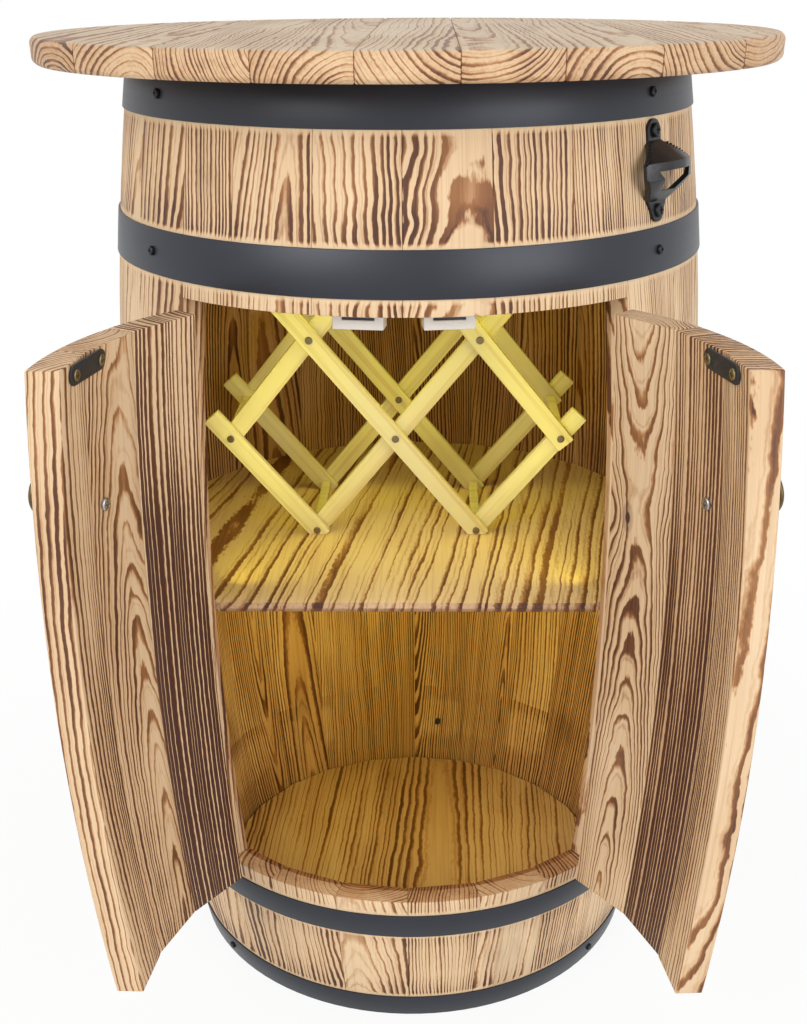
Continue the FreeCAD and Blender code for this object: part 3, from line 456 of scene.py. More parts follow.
def growth_rings(
    finish, across, along, depth, pith, lean, ring, seed=0.0, char=0.5, tone=0.2,
    wander=1.0, fold=None, scorch=0.0, spared=1.0, ripples=1.0, tips=1.0,
):
    """Colour, height and roughness of flamed wood at a point of a board.

    across, along and depth are the point in the board's own directions. pith is the trunk's
    middle beside and behind the board, lean how fast it drifts along the board, ring the
    rings' width, and seed makes boards of one kind differ. char is how hard the flame has
    burnt the rings, tone how brown the wood between them is. wander is how far the rings
    stray, and at a fold the drift turns back, so arches point both ways from there. scorch
    is more than 0 where the flame stayed longer; spared is 0 where it didn't reach and also
    paints light, a highlight on the doors' arrises and a sheen on the table's top.
    ripples is how strongly the rings ripple, and tips is how dark the broad bands stay where
    a ring only grazes the surface.
    """

    def pattern(fine, long, scale, detail, roughness, start=seed):
        """Clouds that are stretched along the board."""
        place = finish.vector(across * fine + start, along * long, depth * fine)
        return finish.noise(place, scale, detail, roughness)

    rise = along
    if fold:
        from_fold = along - fold
        rise = (from_fold * from_fold + FOLD_ROUNDING).root()

    # how far the point is from the pith, in metres and then in rings
    drift = pattern(7, 1.6, 1.6, 1.5, 0.45) - 0.5
    waver = pattern(24, 8, 1.4, 2.0, 0.5) - 0.5
    ripple = pattern(34, 44, 1.0, 1.0, 0.5) - 0.5
    rasp = pattern(420, 150, 1.0, 1.0, 0.5) - 0.5
    side = across - pith[0] - rise * lean[0] + drift * (DRIFT_SIDE * wander)
    back = depth - pith[1] - rise * lean[1] + drift * (DRIFT_BACK * wander)
    distance = (side * side + back * back).root()
    distance = distance + waver * (WAVER * wander) + ripple * ripples * (RIPPLE * wander)
    growth = finish.noise(finish.vector(distance * 60, seed, 0.0), 1.0, 1.0, 0.5) - 0.5
    rings = distance / ring + growth * UNEVEN_RINGS + rasp * RASPED
    within = rings.fraction()
    die = finish.die(rings.floor() + seed)

    # the flame's heat, and the wood's fibres
    flame = pattern(9, 2.4, 1.5, 3.0, 0.55, seed * 3)
    heat = finish.ramp(flame, [(0.0, grey(0.10)), (0.38, grey(0.25)), (0.60, grey(0.80)), (1.0, grey(1.0))])
    heat = ((heat + scorch) * spared).clamped()
    fibre = pattern(900, 22, 1.0, 2.0, 0.6)
    streak = pattern(380, 5.0, 1.0, 2.0, 0.6)

    # the hard end of a ring burns, and a faint line in its middle takes a little
    dark_share = heat * (0.24 + char * 0.16) + (die * 0.22 + (0.08 + char * 0.14))
    late = ((within - 1.0 + dark_share) / 0.22).clamped() * ((1.0 - within) / 0.09).clamped()
    burn = (heat * 0.50 + (0.30 + char * 0.34)) * (die * 0.35 + 0.65) * spared
    if tips < 1.0:
        steep = (side.size() / distance * 2.6).clamped()
        burn = burn * (steep * (1.0 - tips) + tips) * (1.0 - (1.0 - steep) * (streak - 0.3) * 0.8)
    faint = (1.0 - (within - 0.35 - die * 0.2).size() / 0.11).clamped() * spared
    burnt = late * burn * (fibre * 0.5 + 0.75) + faint * (heat * 0.16 + 0.10)
    burnt = (burnt + (streak - 0.5) * 0.46).clamped()

    # from bare wood over brown to char
    pale = finish.mix(flame, CREAM, STRAW)
    pale = finish.mix(heat * tone * 0.75 + tone * 0.25, pale, finish.mix(streak, TAN, BROWN))
    body = finish.mix((burnt * 2.4).clamped(), pale, finish.mix(heat, TAN, BROWN))
    body = finish.mix((burnt * 2.0 - 0.62).clamped(), body, finish.mix(heat, UMBER, CHAR))
    body = finish.mix(0.36, body, finish.mix(fibre, BROWN, CREAM), "SOFT_LIGHT")
    return body, burnt * 0.7 + fibre * 0.35, 0.60 - burnt * 0.14 + fibre * 0.1


print("widest stray of a ring in mm:", round(500 * (DRIFT_SIDE + WAVER + RIPPLE), 1))

# %% [markdown]
# ### From the field to the shader
#
# The wire brush leaves the burnt ends of the rings standing and the soft wood lower. That is
# far too fine for real geometry on every board, so it is a bump, little more than half a
# millimetre high.

# %% Dressing wood
GRAIN_DEPTH = 0.0006
GRAIN_STRENGTH = 0.55


def dress_wood(finish, body, height, rough, shine=0.35):
    """Feeds a wood's colour, relief and roughness to its shader."""
    relief = finish.bump(height, GRAIN_STRENGTH, GRAIN_DEPTH)
    finish.set(Base_Color=body, Roughness=rough, Normal=relief, Specular_IOR_Level=shine)
    return finish.material


def between(die, low, high):
    """A throw from 0 to 1 brought between two ends."""
    return die * (high - low) + low


print("relief of the grain in mm:", 1000 * GRAIN_DEPTH)

# %% [markdown]
# ## One wood for all staves of the shell
#
# Every stave is a board of its own, so the grain has to jump at each joint. The shader finds
# the stave that a point belongs to from its angle round the axis, turns the point into that
# board's own directions and throws dice with the stave's number for the pith and the lean.
# An open door first goes back to its shut place, with a Mapping node, so its grain follows
# the same rule.

# %% The staves' directions in the shader
METRES_PER_DEGREE = math.pi / 180 * BILGE_RADIUS


def barrel_point(finish, word=None):
    """Angle from the doorway's middle in degrees, height, and depth behind the outside."""
    point = finish.place()
    if word:
        back = swing(word).inverted().to_translation()
        point = finish.turned(point, (0.0, 0.0, math.radians(-OPENING[word])), back[:])
    x, y, z = finish.parts(point)
    angle = x.sum("ARCTAN2", y * -1.0) * (180 / math.pi)
    radius = (x * x + y * y).root()
    rise = z - BILGE_HEIGHT
    outside = (rise * rise * -1.0 + BEND_RADIUS**2).root() + (BILGE_RADIUS - BEND_RADIUS)
    return angle, z, outside - radius


print("a full stave's width at the belly in mm:", round(1000 * STAVE_ANGLE * METRES_PER_DEGREE, 1))

# %% [markdown]
# ### The shell's staves
#
# The hoops were on the barrel when it met the flame, so a thin strip of pale wood is left
# along their edges. Over the lintel, at the foot and under the sill the flame stayed longer.
# Inside, the staves are browner, and brownest of all is the end grain that shows on the sill.

# %% Shell wood
HOOP_EDGES = ((0.001, 0.025), (0.106, 0.131), (0.650, 0.681), (0.752, 0.782))
HOOP_SHADE = 0.0045
OVER_LINTEL = (0.679, 0.712)
UNDER_SILL = (0.088, 0.108)
FOOT_TOP = 0.054
OUTER_SKIN = 0.004
INNER_SKIN = 0.016
DOORWAY_MIDDLE = 0.4
RIGHT_HALF = 20.0
ABOVE_DOORWAY = 47.0


def shell_wood(name):
    """One material for all staves that stand still."""
    finish = Finish(name)
    angle, height, depth = barrel_point(finish)

    # which stave this is, and its own directions
    size = angle.size()
    front = size < DOORWAY
    behind = 1.0 - front
    short = (size / STAVE_ANGLE).floor()
    full = ((size - DOORWAY) / STAVE_ANGLE).floor()
    middle = front * (short + 0.5) * STAVE_ANGLE + behind * (DOORWAY + (full + 0.5) * STAVE_ANGLE)
    number = front * short + behind * (full + 3.0)
    number = number + (angle > 0.0) * RIGHT_HALF + front * (height > DOORWAY_MIDDLE) * ABOVE_DOORWAY
    across = (size - middle) * METRES_PER_DEGREE

    # what its board is like
    dice = finish.dice(number + 31.7)
    more = finish.dice(number + 77.3)
    pith = (between(dice[0], -0.11, 0.11), between(dice[1], 0.016, 0.058))
    lean = (between(more[0], -0.045, 0.045), (more[1] > 0.5) * 0.11 + between(more[1], -0.070, -0.040))
    ring = between(dice[2] * dice[2], 0.0026, 0.0054)
    ripples = between(more[0] * more[0], 0.35, 1.85)
    char = between(more[2], 0.27, 0.72)

    # where the flame came and where it didn't; a place is divided by the length it fades over
    spared = 1.0
    for bottom, top in HOOP_EDGES:
        from_hoop = (height - (bottom + top) / 2).size() - (top - bottom) / 2
        spared = (from_hoop / HOOP_SHADE).clamped() * spared
    spared = (spared + (depth > OUTER_SKIN)).clamped()
    inside = depth > INNER_SKIN
    over_lintel = ((OVER_LINTEL[1] - height) / 0.036).clamped() * (height > OVER_LINTEL[0])
    under_sill = ((height - UNDER_SILL[0]) / 0.016).clamped() * (height < UNDER_SILL[1])
    at_foot = ((FOOT_TOP - height) / 0.028).clamped()
    scorch = over_lintel * 0.6 + at_foot * 0.6 + under_sill * 0.3 + inside * 0.45
    sawn = (height > SILL - 0.0004) * (height < SILL + 0.001) * front
    tone = inside * 0.55 + sawn * 0.6 + 0.22
    body, bumps, rough = growth_rings(
        finish, across, height, depth, pith, lean, ring, seed=number * 3.1, char=char, tone=tone,
        wander=1.1, scorch=scorch, spared=spared, ripples=ripples, tips=0.45,
    )
    return dress_wood(finish, body, bumps, rough)


SHELL = shell_wood("FlamedSpruceShell")
print("nodes of the shell's wood:", len(SHELL.node_tree.nodes))

# %% [markdown]
# ## Door staves
#
# The doors are what a visitor sees first, so each of their six boards has its pith, ring
# width and flame chosen one by one: straight dark lines beside the left door's hinges, tall
# arches in its middle, a knot in the right door's hinge board. Along a board's eased edges the
# char is left out, a painted highlight where the arris catches the light. The narrow sides of
# the two free boards meet when the doors are shut. They show another cut through the trunk,
# so they get a pith of their own.

# %% Wood of a door board
BOARD_CROWN = 2.0
ARRIS_HIGHLIGHT_WIDTH = 0.0014
NARROW_SIDE = 0.0006
KNOT_STRETCH = 0.55
LOW_FLAME_TOP = 0.56


def door_wood(
    name, word, middle, half, pith, lean, ring, seed, char, tone,
    knot=None, wander=1.0, fold=None, low_flame=0.0, edge=None,
):
    """Wood of one door board, half its width to each side of its middle angle.

    knot is its place across and along the board and its reach. low_flame burns the board's
    lower half more. edge gives its narrow side a pith and a lean of its own, how much more
    it is burnt and how much broader its rings are.
    """
    finish = Finish(name)
    angle, height, depth = barrel_point(finish, word)
    across = (angle * float(SIDES[word]) - middle) * METRES_PER_DEGREE
    depth = depth + across * across * BOARD_CROWN
    from_side = half - across.size()
    from_face = depth.sum("MINIMUM", STAVE_THICKNESS - depth)
    # painted highlight: the char is left out along the board's arrises, where the eased edge catches the
    # light
    spared = (from_side.sum("MAXIMUM", from_face) / ARRIS_HIGHLIGHT_WIDTH).clamped() * 0.7 + 0.3
    if knot:
        # rings bulge round a branch that once grew out of the trunk here
        aside = across - knot[0]
        above = (height - knot[1]) * KNOT_STRETCH
        near = (aside * aside + above * above).root() / knot[2]
        push = (1.0 - near).clamped()
        across = across + aside * push * push * 2.0
    scorch = ((LOW_FLAME_TOP - height) * 3.0).clamped() * low_flame
    if edge:
        narrow = from_side < NARROW_SIDE
        across = across + narrow * (depth - across - STAVE_THICKNESS / 2)
        depth = depth * (1.0 - narrow)
        pith = tuple(narrow * (other - value) + value for value, other in zip(pith, edge["pith"]))
        lean = tuple(narrow * (other - value) + value for value, other in zip(lean, edge["lean"]))
        scorch = scorch + narrow * edge["scorch"]
        ring = narrow * edge["broader"] + ring
        tone = tone - narrow * (tone * 0.8)
    body, bumps, rough = growth_rings(
        finish, across, height, depth, pith, lean, ring, seed, char, tone, wander, fold, scorch, spared,
    )
    if knot:
        stops = [(0.0, 1.0), (0.07, 1.0), (0.10, 0.35), (0.20, 0.25), (0.24, 0.0)]
        heart = finish.ramp(near, [(place, grey(level)) for place, level in stops])
        body = finish.mix(heart, body, CHAR)
    return dress_wood(finish, body, bumps, rough)


# the painted highlight along a door board's arris is this wide
print("eased edge of a door board in mm:", 1000 * ARRIS_HIGHLIGHT_WIDTH)

# %% [markdown]
# ### The six boards
#
# Each board gets its own numbers: its middle in degrees from the doorway's middle, half its
# width, and the trunk that it came from, in metres. A pith close to the board makes arches,
# one far to the side makes straight lines. seed may be any number; these gave the grain that
# looked most natural.

# %% Door boards
FULL_HALF = 0.0334
FREE_HALF = 0.0255
DOOR_BOARDS = {
    ("left", "hinge"): dict(
        middle=34.6, half=FULL_HALF, pith=(0.130, 0.035), lean=(0.006, 0.0), ring=0.0048,
        seed=3.0, char=1.60, tone=0.25, wander=0.45, low_flame=1.2,
    ),
    ("left", "middle"): dict(
        middle=19.35, half=FULL_HALF, pith=(0.016, 0.031), lean=(0.0, -0.085), ring=0.0034,
        seed=8.0, char=0.66, tone=0.45, wander=1.2,
    ),
    ("left", "free"): dict(
        middle=5.85, half=FREE_HALF, pith=(-0.040, 0.050), lean=(0.006, 0.020), ring=0.0040,
        seed=14.0, char=0.95, tone=0.40,
        edge=dict(pith=(-0.002, 0.012), lean=(-0.080, 0.020), scorch=0.60, broader=0.0022),
    ),
    ("right", "hinge"): dict(
        middle=34.6, half=FULL_HALF, pith=(0.0, 0.062), lean=(0.0, -0.10), ring=0.0033,
        seed=21.0, char=0.38, tone=0.22, wander=1.5, knot=(0.013, 0.490, 0.030), fold=0.490,
    ),
    ("right", "middle"): dict(
        middle=19.35, half=FULL_HALF, pith=(-0.120, 0.030), lean=(0.003, 0.0), ring=0.0046,
        seed=27.0, char=1.50, tone=0.55, wander=0.4, low_flame=0.5,
    ),
    ("right", "free"): dict(
        middle=5.85, half=FREE_HALF, pith=(-0.100, 0.022), lean=(0.030, 0.0), ring=0.0044,
        seed=33.0, char=1.15, tone=0.45,
        edge=dict(pith=(0.005, 0.008), lean=(-0.006, 0.045), scorch=0.55, broader=0.0010),
    ),
}
print("door boards:", len(DOOR_BOARDS))

# %% [markdown]
# ## Straight boards
#
# The table's nine boards, the round boards and the shelf run from front to back, so for these
# the board's directions are the plain axes. Dice choose each table board's pith, above or
# below it. The table's top shines a little more than the rim, and a painted sheen makes it
# greyer, less brown and less burnt than the rim.

# %% Wood of the table
TABLE_HEIGHT = 0.8
TABLE_BOARD = 0.062
TABLE_JOINT = 0.036
# grey of the painted sheen, multiplied into the table's top
PAINTED_SHEEN_GREY = (0.82, 0.90, 1.02, 1.0)


def table_wood(name):
    """Wood of the table's boards, which meet at one joint and at each board's width from it."""
    finish = Finish(name)
    x, y, z = finish.parts(finish.place())
    number = ((x - TABLE_JOINT) / TABLE_BOARD).floor()
    across = x - (number * TABLE_BOARD + (TABLE_JOINT + TABLE_BOARD / 2))
    dice = finish.dice(number + 5.3)
    pith = (between(dice[0], -0.05, 0.05), (dice[1] > 0.45) * 0.056 + between(dice[2], -0.036, -0.024))
    lean = (between(dice[2], -0.03, 0.03), between(dice[0], -0.04, 0.04))
    ring = between(dice[2], 0.0028, 0.0050)
    # the top face carries a painted sheen: less burnt, less brown, and greyed below
    top = z > TABLE_HEIGHT - 0.0006
    body, bumps, rough = growth_rings(
        finish, across, y, z - TABLE_HEIGHT, pith, lean, ring, seed=number * 5.7 + 3.0, char=0.46,
        tone=0.60 - top * 0.20, spared=1.0 - top * 0.15, tips=0.6,
    )
    body = finish.mix(top, body, PAINTED_SHEEN_GREY, "MULTIPLY")
    return dress_wood(finish, body, bumps, rough - 0.08, shine=0.38)


TABLE = table_wood("FlamedSpruceTable")
print("nodes of the table's wood:", len(TABLE.node_tree.nodes))

# %% [markdown]
# ### Shelf, head and floor board
#
# These lie inside and are one board each to the eye. Only the shelf shows its front edge. It
# is browner than the top, and darker still below a narrow strip along its top arris.

# %% Wood of the round boards and the shelf
SHELF_TOP = 0.399
SHELF_FRONT = -0.172
NO_FRONT = -1.0
ARRIS = 0.0045
ARRIS_FADE = 0.0015


def panel_wood(name, pith, lean, ring, seed, char, tone, level=0.0, front=NO_FRONT):
    """Wood of a board that runs from front to back, with its top at a level."""
    finish = Finish(name)
    x, y, z = finish.parts(finish.place())
    edge = y < front + 0.0004
    lower = ((level - ARRIS - z) / ARRIS_FADE).clamped()
    body, bumps, rough = growth_rings(
        finish, x, y, z - level, pith, lean, ring, seed, char, tone + edge * 0.4,
        scorch=edge * (lower * 0.6 + 0.3),
    )
    # the front edge below a strip at its top arris is darkened towards umber
    body = finish.mix(edge * lower * 0.55, body, UMBER)
    return dress_wood(finish, body, bumps, rough)


PANEL = panel_wood(
    "FlamedSpruceBoards", pith=(0.03, 0.055), lean=(0.03, 0.02), ring=0.006, seed=41.0, char=0.45, tone=0.6
)
SHELF = panel_wood(
    "FlamedSpruceShelf", pith=(-0.16, 0.03), lean=(0.16, 0.0), ring=0.0110, seed=52.0, char=0.28, tone=0.15,
    level=SHELF_TOP, front=SHELF_FRONT,
)
print("finishes so far:", len(bpy.data.materials))

# %% [markdown]
# ### Slats
#
# The rack is planed pine that never met the flame: pale, with fine lines along each slat.
# A Mapping node turns the plain axes to the slat's lean. Height over width of half a lattice
# cell gives that lean.

# %% Wood of the slats
HALF_CELL = (0.0713, 0.0846)
SLAT_LEAN = math.degrees(math.atan(HALF_CELL[1] / HALF_CELL[0]))


def slat_wood(name, lean, seed):
    """Planed pine with its grain along a slat that leans by an angle."""
    finish = Finish(name)
    turned = finish.turned(finish.place(), (0.0, math.radians(-lean), 0.0))
    along, depth, across = finish.parts(turned)
    lines = finish.noise(finish.vector(along * 2.5 + seed, depth * 160, across * 160), 1.0, 3.0, 0.55)
    broad = finish.noise(finish.vector(along * 3.0, depth * 20, across * 28 + seed), 1.0, 2.0, 0.5)
    fibre = finish.noise(finish.vector(along * 30, depth * 1200, across * 1200), 1.0, 2.0, 0.6)
    stops = [(0.0, 0.0), (0.50, 0.0), (0.66, 0.75), (0.72, 0.1), (1.0, 0.3)]
    streak = finish.ramp(lines, [(place, grey(level)) for place, level in stops])
    tint = finish.mix(broad, colour("eae2c0"), colour("d8ca9a"))
    body = finish.mix(streak * 0.55, tint, colour("c2a166"))
    body = finish.mix(0.12, body, finish.mix(fibre, BROWN, CREAM), "SOFT_LIGHT")
    relief = finish.bump(fibre + streak * 0.4, 0.3, 0.0004)
    finish.set(Base_Color=body, Roughness=0.55 + fibre * 0.15, Normal=relief)
    return finish.material


PINE_FALLING = slat_wood("PineFalling", SLAT_LEAN, 2.0)
PINE_RISING = slat_wood("PineRising", -SLAT_LEAN, 9.0)
PINE_PLAIN = slat_wood("PinePlain", 0.0, 15.0)
print("the slats lean by", round(SLAT_LEAN, 1), "degrees")

# %% [markdown]
# ## Metal, plastic and lacquer
#
# The hoops are cold-rolled strip with a satin dark lacquer, and long faint streaks run round
# the barrel. The catches are white moulded plastic, the knobs are aged bronze and the opener
# is black enamelled cast iron. Strike plates and hinges have a dull dark skin. One function
# serves for each kind of surface, and its numbers make the difference.

# %% Hard finishes


def hoop_lacquer(name):
    """Satin lacquer with streaks that run round the barrel."""
    finish = Finish(name)
    point = finish.place()
    x, y, z = finish.parts(point)
    streak = finish.noise(finish.vector(x.sum("ARCTAN2", y) * 1.6, z * 420, 0.0), 1.0, 3.0, 0.6)
    cloud = finish.noise(point, 9.0, 3.0, 0.55)
    speck = finish.noise(point, 420.0, 1.0, 0.5)
    body = finish.mix(cloud, colour("191b23"), colour("262a34"))
    body = finish.mix(streak * 0.30, body, colour("343842"))
    finish.set(Base_Color=body, Metallic=0.20, Roughness=0.30 + cloud * 0.12 + streak * 0.08)
    finish.set(Normal=finish.bump(streak * 0.4 + speck * 0.3, 0.10, 0.0003))
    return finish.material


def enamel(name, dark, light, rough, pits, metallic=0.0, strength=0.35):
    """A slightly uneven opaque skin on metal, the finer the pits the higher their number."""
    finish = Finish(name)
    point = finish.place()
    cloud = finish.noise(point, 60.0, 3.0, 0.55)
    grain = finish.noise(point, pits, 2.0, 0.6)
    finish.set(Base_Color=finish.mix(cloud, colour(dark), colour(light)), Metallic=metallic)
    finish.set(Roughness=cloud * 0.12 + grain * 0.1 + (rough - 0.1))
    finish.set(Normal=finish.bump(grain + cloud * 0.6, strength, 0.0004))
    return finish.material


def moulded(name, tone, shade, rough):
    """Moulded plastic: two close shades and a very fine grain."""
    finish = Finish(name)
    point = finish.place()
    cloud = finish.noise(point, 35.0, 2.0, 0.5)
    grain = finish.noise(point, 1500.0, 1.0, 0.5)
    finish.set(Base_Color=finish.mix(cloud, colour(tone), colour(shade)))
    finish.set(Roughness=grain * 0.12 + (rough - 0.06), Normal=finish.bump(grain, 0.12, 0.0001))
    return finish.material


def glow(name, tone, light_tone, strength):
    """A lit chip of a lighting tape under its yellow phosphor."""
    finish = Finish(name)
    cloud = finish.noise(finish.place(), 900.0, 1.0, 0.5)
    lit = finish.mix(cloud, colour(tone), colour(light_tone))
    finish.set(Base_Color=lit, Emission_Color=lit, Emission_Strength=strength, Roughness=0.4)
    return finish.material


HOOP = hoop_lacquer("HoopLacquer")
IRON = enamel("OpenerIron", "0f0f11", "202024", rough=0.36, pits=260.0, metallic=0.15, strength=0.6)
STRIKE = enamel("StrikeEnamel", "17191d", "2b2d32", rough=0.52, pits=500.0)
HINGE = enamel("HingeEnamel", "1f1f21", "37373a", rough=0.42, pits=500.0, metallic=0.4)
BRONZE = enamel("KnobBronze", "4a3a26", "7d6a48", rough=0.40, pits=300.0, metallic=0.85)
BRASS = enamel("ScrewBrass", "74674a", "a39370", rough=0.38, pits=600.0, metallic=0.9, strength=0.2)
ZINC = enamel("ScrewZinc", "9a9a9c", "cfcfd2", rough=0.30, pits=600.0, metallic=0.95, strength=0.2)
PHOSPHATE = enamel("ScrewBlack", "131315", "2a2a2d", rough=0.40, pits=600.0, metallic=0.5, strength=0.2)
POLE = enamel("PoleSteel", "2f2f32", "55555a", rough=0.45, pits=700.0, metallic=0.8)
WHITE = moulded("CatchPlastic", "eceae4", "dfdcd4", rough=0.42)
TAPE = moulded("TapeBacking", "f4ecd0", "e8ddb8", rough=0.5)
SOCKET = moulded("SocketPlastic", "1a1a1c", "242427", rough=0.45)
CHIP = glow("TapeChip", "ffd860", "fff0b0", strength=3.0)
print("finishes:", len(bpy.data.materials))

# %% [markdown]
# ## Selecting and editing
#
# Blender's operators act on what is selected, and many of them only in edit mode. Everything
# may still be selected from the step before, so each step begins by choosing its own piece.

# %% Selecting and editing


def only(*things):
    """Selects these things and nothing else, with the first one active."""
    bpy.ops.object.select_all(action="DESELECT")
    for thing in things:
        thing.select_set(True)
    bpy.context.view_layer.objects.active = things[0]


def edit(thing):
    """Opens a piece for editing, with all its points selected."""
    only(thing)
    bpy.ops.object.mode_set(mode="EDIT")
    bpy.ops.mesh.select_mode(type="VERT")
    bpy.ops.mesh.select_all(action="SELECT")


def leave():
    """Closes the piece again."""
    bpy.ops.object.mode_set(mode="OBJECT")


print("mode now:", bpy.context.mode)

# %% [markdown]
# ## Working on a copy
#
# A node of the construction model stays as it is, so a piece that needs a finer shape starts
# as a copy of it. The copy's loose triangles are merged and its flat faces joined again.
# After that it can be cut, bevelled and smoothed as any mesh.

# %% Helpers for pieces


def new_piece(name, mesh):
    """A piece in the scene round a mesh."""
    piece = bpy.data.objects.new(name, mesh)
    scene.collection.objects.link(piece)
    return piece


def copy_of(node, name):
    """A node's shape as a piece that can be worked on."""
    piece = new_piece(name, nodes[node].data.copy())
    piece.data.materials.clear()
    edit(piece)
    bpy.ops.mesh.remove_doubles(threshold=0.00001)
    bpy.ops.mesh.dissolve_limited(angle_limit=math.radians(0.3))
    leave()
    return piece


def apply_modifier(piece, kind, **settings):
    """Adds a modifier, gives it its settings and applies it."""
    modifier = piece.modifiers.new(kind.title(), kind)
    for name, value in settings.items():
        setattr(modifier, name, value)
    only(piece)
    bpy.ops.object.modifier_apply(modifier=modifier.name)


def bevel(piece, width, segments, angle):
    """Rounds the edges that are sharper than an angle."""
    limits = dict(limit_method="ANGLE", angle_limit=math.radians(angle), use_clamp_overlap=True)
    apply_modifier(piece, "BEVEL", width=width, segments=segments, **limits)


def smooth(piece, angle):
    """Shades a piece as round where its faces meet at less than an angle."""
    only(piece)
    bpy.ops.object.shade_smooth_by_angle(angle=math.radians(angle))


def ease(piece, width, segments=2, angle=35):
    """Rounds a piece's sharp edges and smooths what is left."""
    bevel(piece, width, segments, angle)
    smooth(piece, angle)


def hand_over(piece, material, slot, body, *replaced):
    """Gives a finished piece its material and the body that it moves with; slot is not used."""
    piece.data.materials.clear()
    piece.data.materials.append(material)
    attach(piece, body)
    if replaced:
        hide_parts(*replaced)


print("helpers are ready for", len(nodes), "nodes")

# %% [markdown]
# ## Rounding the staves
#
# The construction's staves are flat boards that are only bent along their length. On the
# real barrel the outside has been planed round after assembly. So each stave is cut lengthwise
# by planes through the barrel's axis, and the points on its outer face move out to the circle.
# That moves them by two millimetres at most, and the edges of the staves stay where they are.

# %% Crowning the outer faces
STRIPS = 6
ANGLE_SLACK = 0.05
FACE_SLACK = 0.00035


def flat_depth(half):
    """How far a flat face's middle lies under the circle, from half its width in degrees."""
    return BILGE_RADIUS * (1 - math.cos(math.radians(half)))


def crown(piece, boards):
    """Rounds the outer face of boards, each given by its middle angle and half its width."""
    edit(piece)
    for middle, half in boards:
        for strip in range(1, STRIPS):
            angle = middle - half + 2 * half * strip / STRIPS
            across = outward(angle).cross(Vector((0, 0, 1)))
            bpy.ops.mesh.select_all(action="SELECT")
            bpy.ops.mesh.bisect(plane_co=(0, 0, 0), plane_no=across, use_fill=False)
    leave()
    moved = 0
    for point in piece.data.vertices:
        angle = math.degrees(math.atan2(point.co.x, -point.co.y))
        radius = math.hypot(point.co.x, point.co.y)
        for middle, half in boards:
            off = (angle - middle + 180) % 360 - 180
            if abs(off) > half + ANGLE_SLACK:
                continue
            face = bow(point.co.z) - flat_depth(half)
            if abs(radius * math.cos(math.radians(off)) - face) < FACE_SLACK:
                grow = bow(point.co.z) / radius
                point.co.x *= grow
                point.co.y *= grow
                moved += 1
            break
    return moved


def stave_row(first, count, side=1):
    """Full staves beside each other from an angle on, to the right or, with -1, to the left."""
    half = STAVE_ANGLE / 2
    return [(side * (first + (index + 0.5) * STAVE_ANGLE), half) for index in range(count)]


def shell_piece(node, boards):
    """A node's staves, crowned and eased."""
    piece = copy_of(node, node + "_finished")
    moved = crown(piece, boards)
    ease(piece, 0.0006)
    hand_over(piece, SHELL, "spruce_staves", "barrel", node)
    print(node, "points moved:", moved)


for word, side in SIDES.items():
    short = stave_row(0, 2, side) + [(side * (DOORWAY - NARROW_STAVE / 2), NARROW_STAVE / 2)]
    shell_piece("upper_staves_" + word, short)
    shell_piece("lower_staves_" + word, short)
    shell_piece("jamb_stave_" + word, stave_row(DOORWAY, 1, side))
    shell_piece("side_staves_" + word, stave_row(DOORWAY + STAVE_ANGLE, 5, side))
shell_piece("back_staves", stave_row(DOORWAY + 6 * STAVE_ANGLE, 6))

# %% [markdown]
# ## The doors' staves
#
# A door goes back to its shut place for the rounding, because there the barrel's axis is
# still its middle, and then swings out again. A span is where a board starts and how wide it
# is, in degrees. The boards at a door's two sides are narrower by half the gap that lets it
# move.

# %% Doors
DOOR_SPANS = {
    "free": (0.0, NARROW_STAVE),
    "middle": (NARROW_STAVE, STAVE_ANGLE),
    "hinge": (NARROW_STAVE + STAVE_ANGLE, STAVE_ANGLE),
}


def door_board(word, place):
    """One board of a door, crowned and eased."""
    node = f"door_{word}_{place}_stave"
    start, angle = DOOR_SPANS[place]
    if place != "middle":
        angle -= DOOR_EDGE_GAP / 2
    if place == "free":
        start += DOOR_EDGE_GAP / 2
    piece = copy_of(node, node + "_finished")
    piece.data.transform(swing(word).inverted())
    moved = crown(piece, [(SIDES[word] * (start + angle / 2), angle / 2)])
    piece.data.transform(swing(word))
    ease(piece, 0.0008)
    wood = door_wood(f"FlamedSpruce_{word}_{place}", word, **DOOR_BOARDS[word, place])
    hand_over(piece, wood, "spruce_doors", word + "_door", node)
    print(node, "points moved:", moved)


for word in SIDES:
    for place in DOOR_SPANS:
        door_board(word, place)

# %% [markdown]
# ## Boards, hoops and rack
#
# These have their true shape already. What they lack is the small rounding that sandpaper
# and a roller leave, which catches the light along every edge.

# %% Pieces with eased edges


def dressed(node, material, slot, body, width, segments=2):
    """A node's own shape with edges eased by a width in metres."""
    piece = copy_of(node, node + "_finished")
    ease(piece, width, segments)
    hand_over(piece, material, slot, body, node)


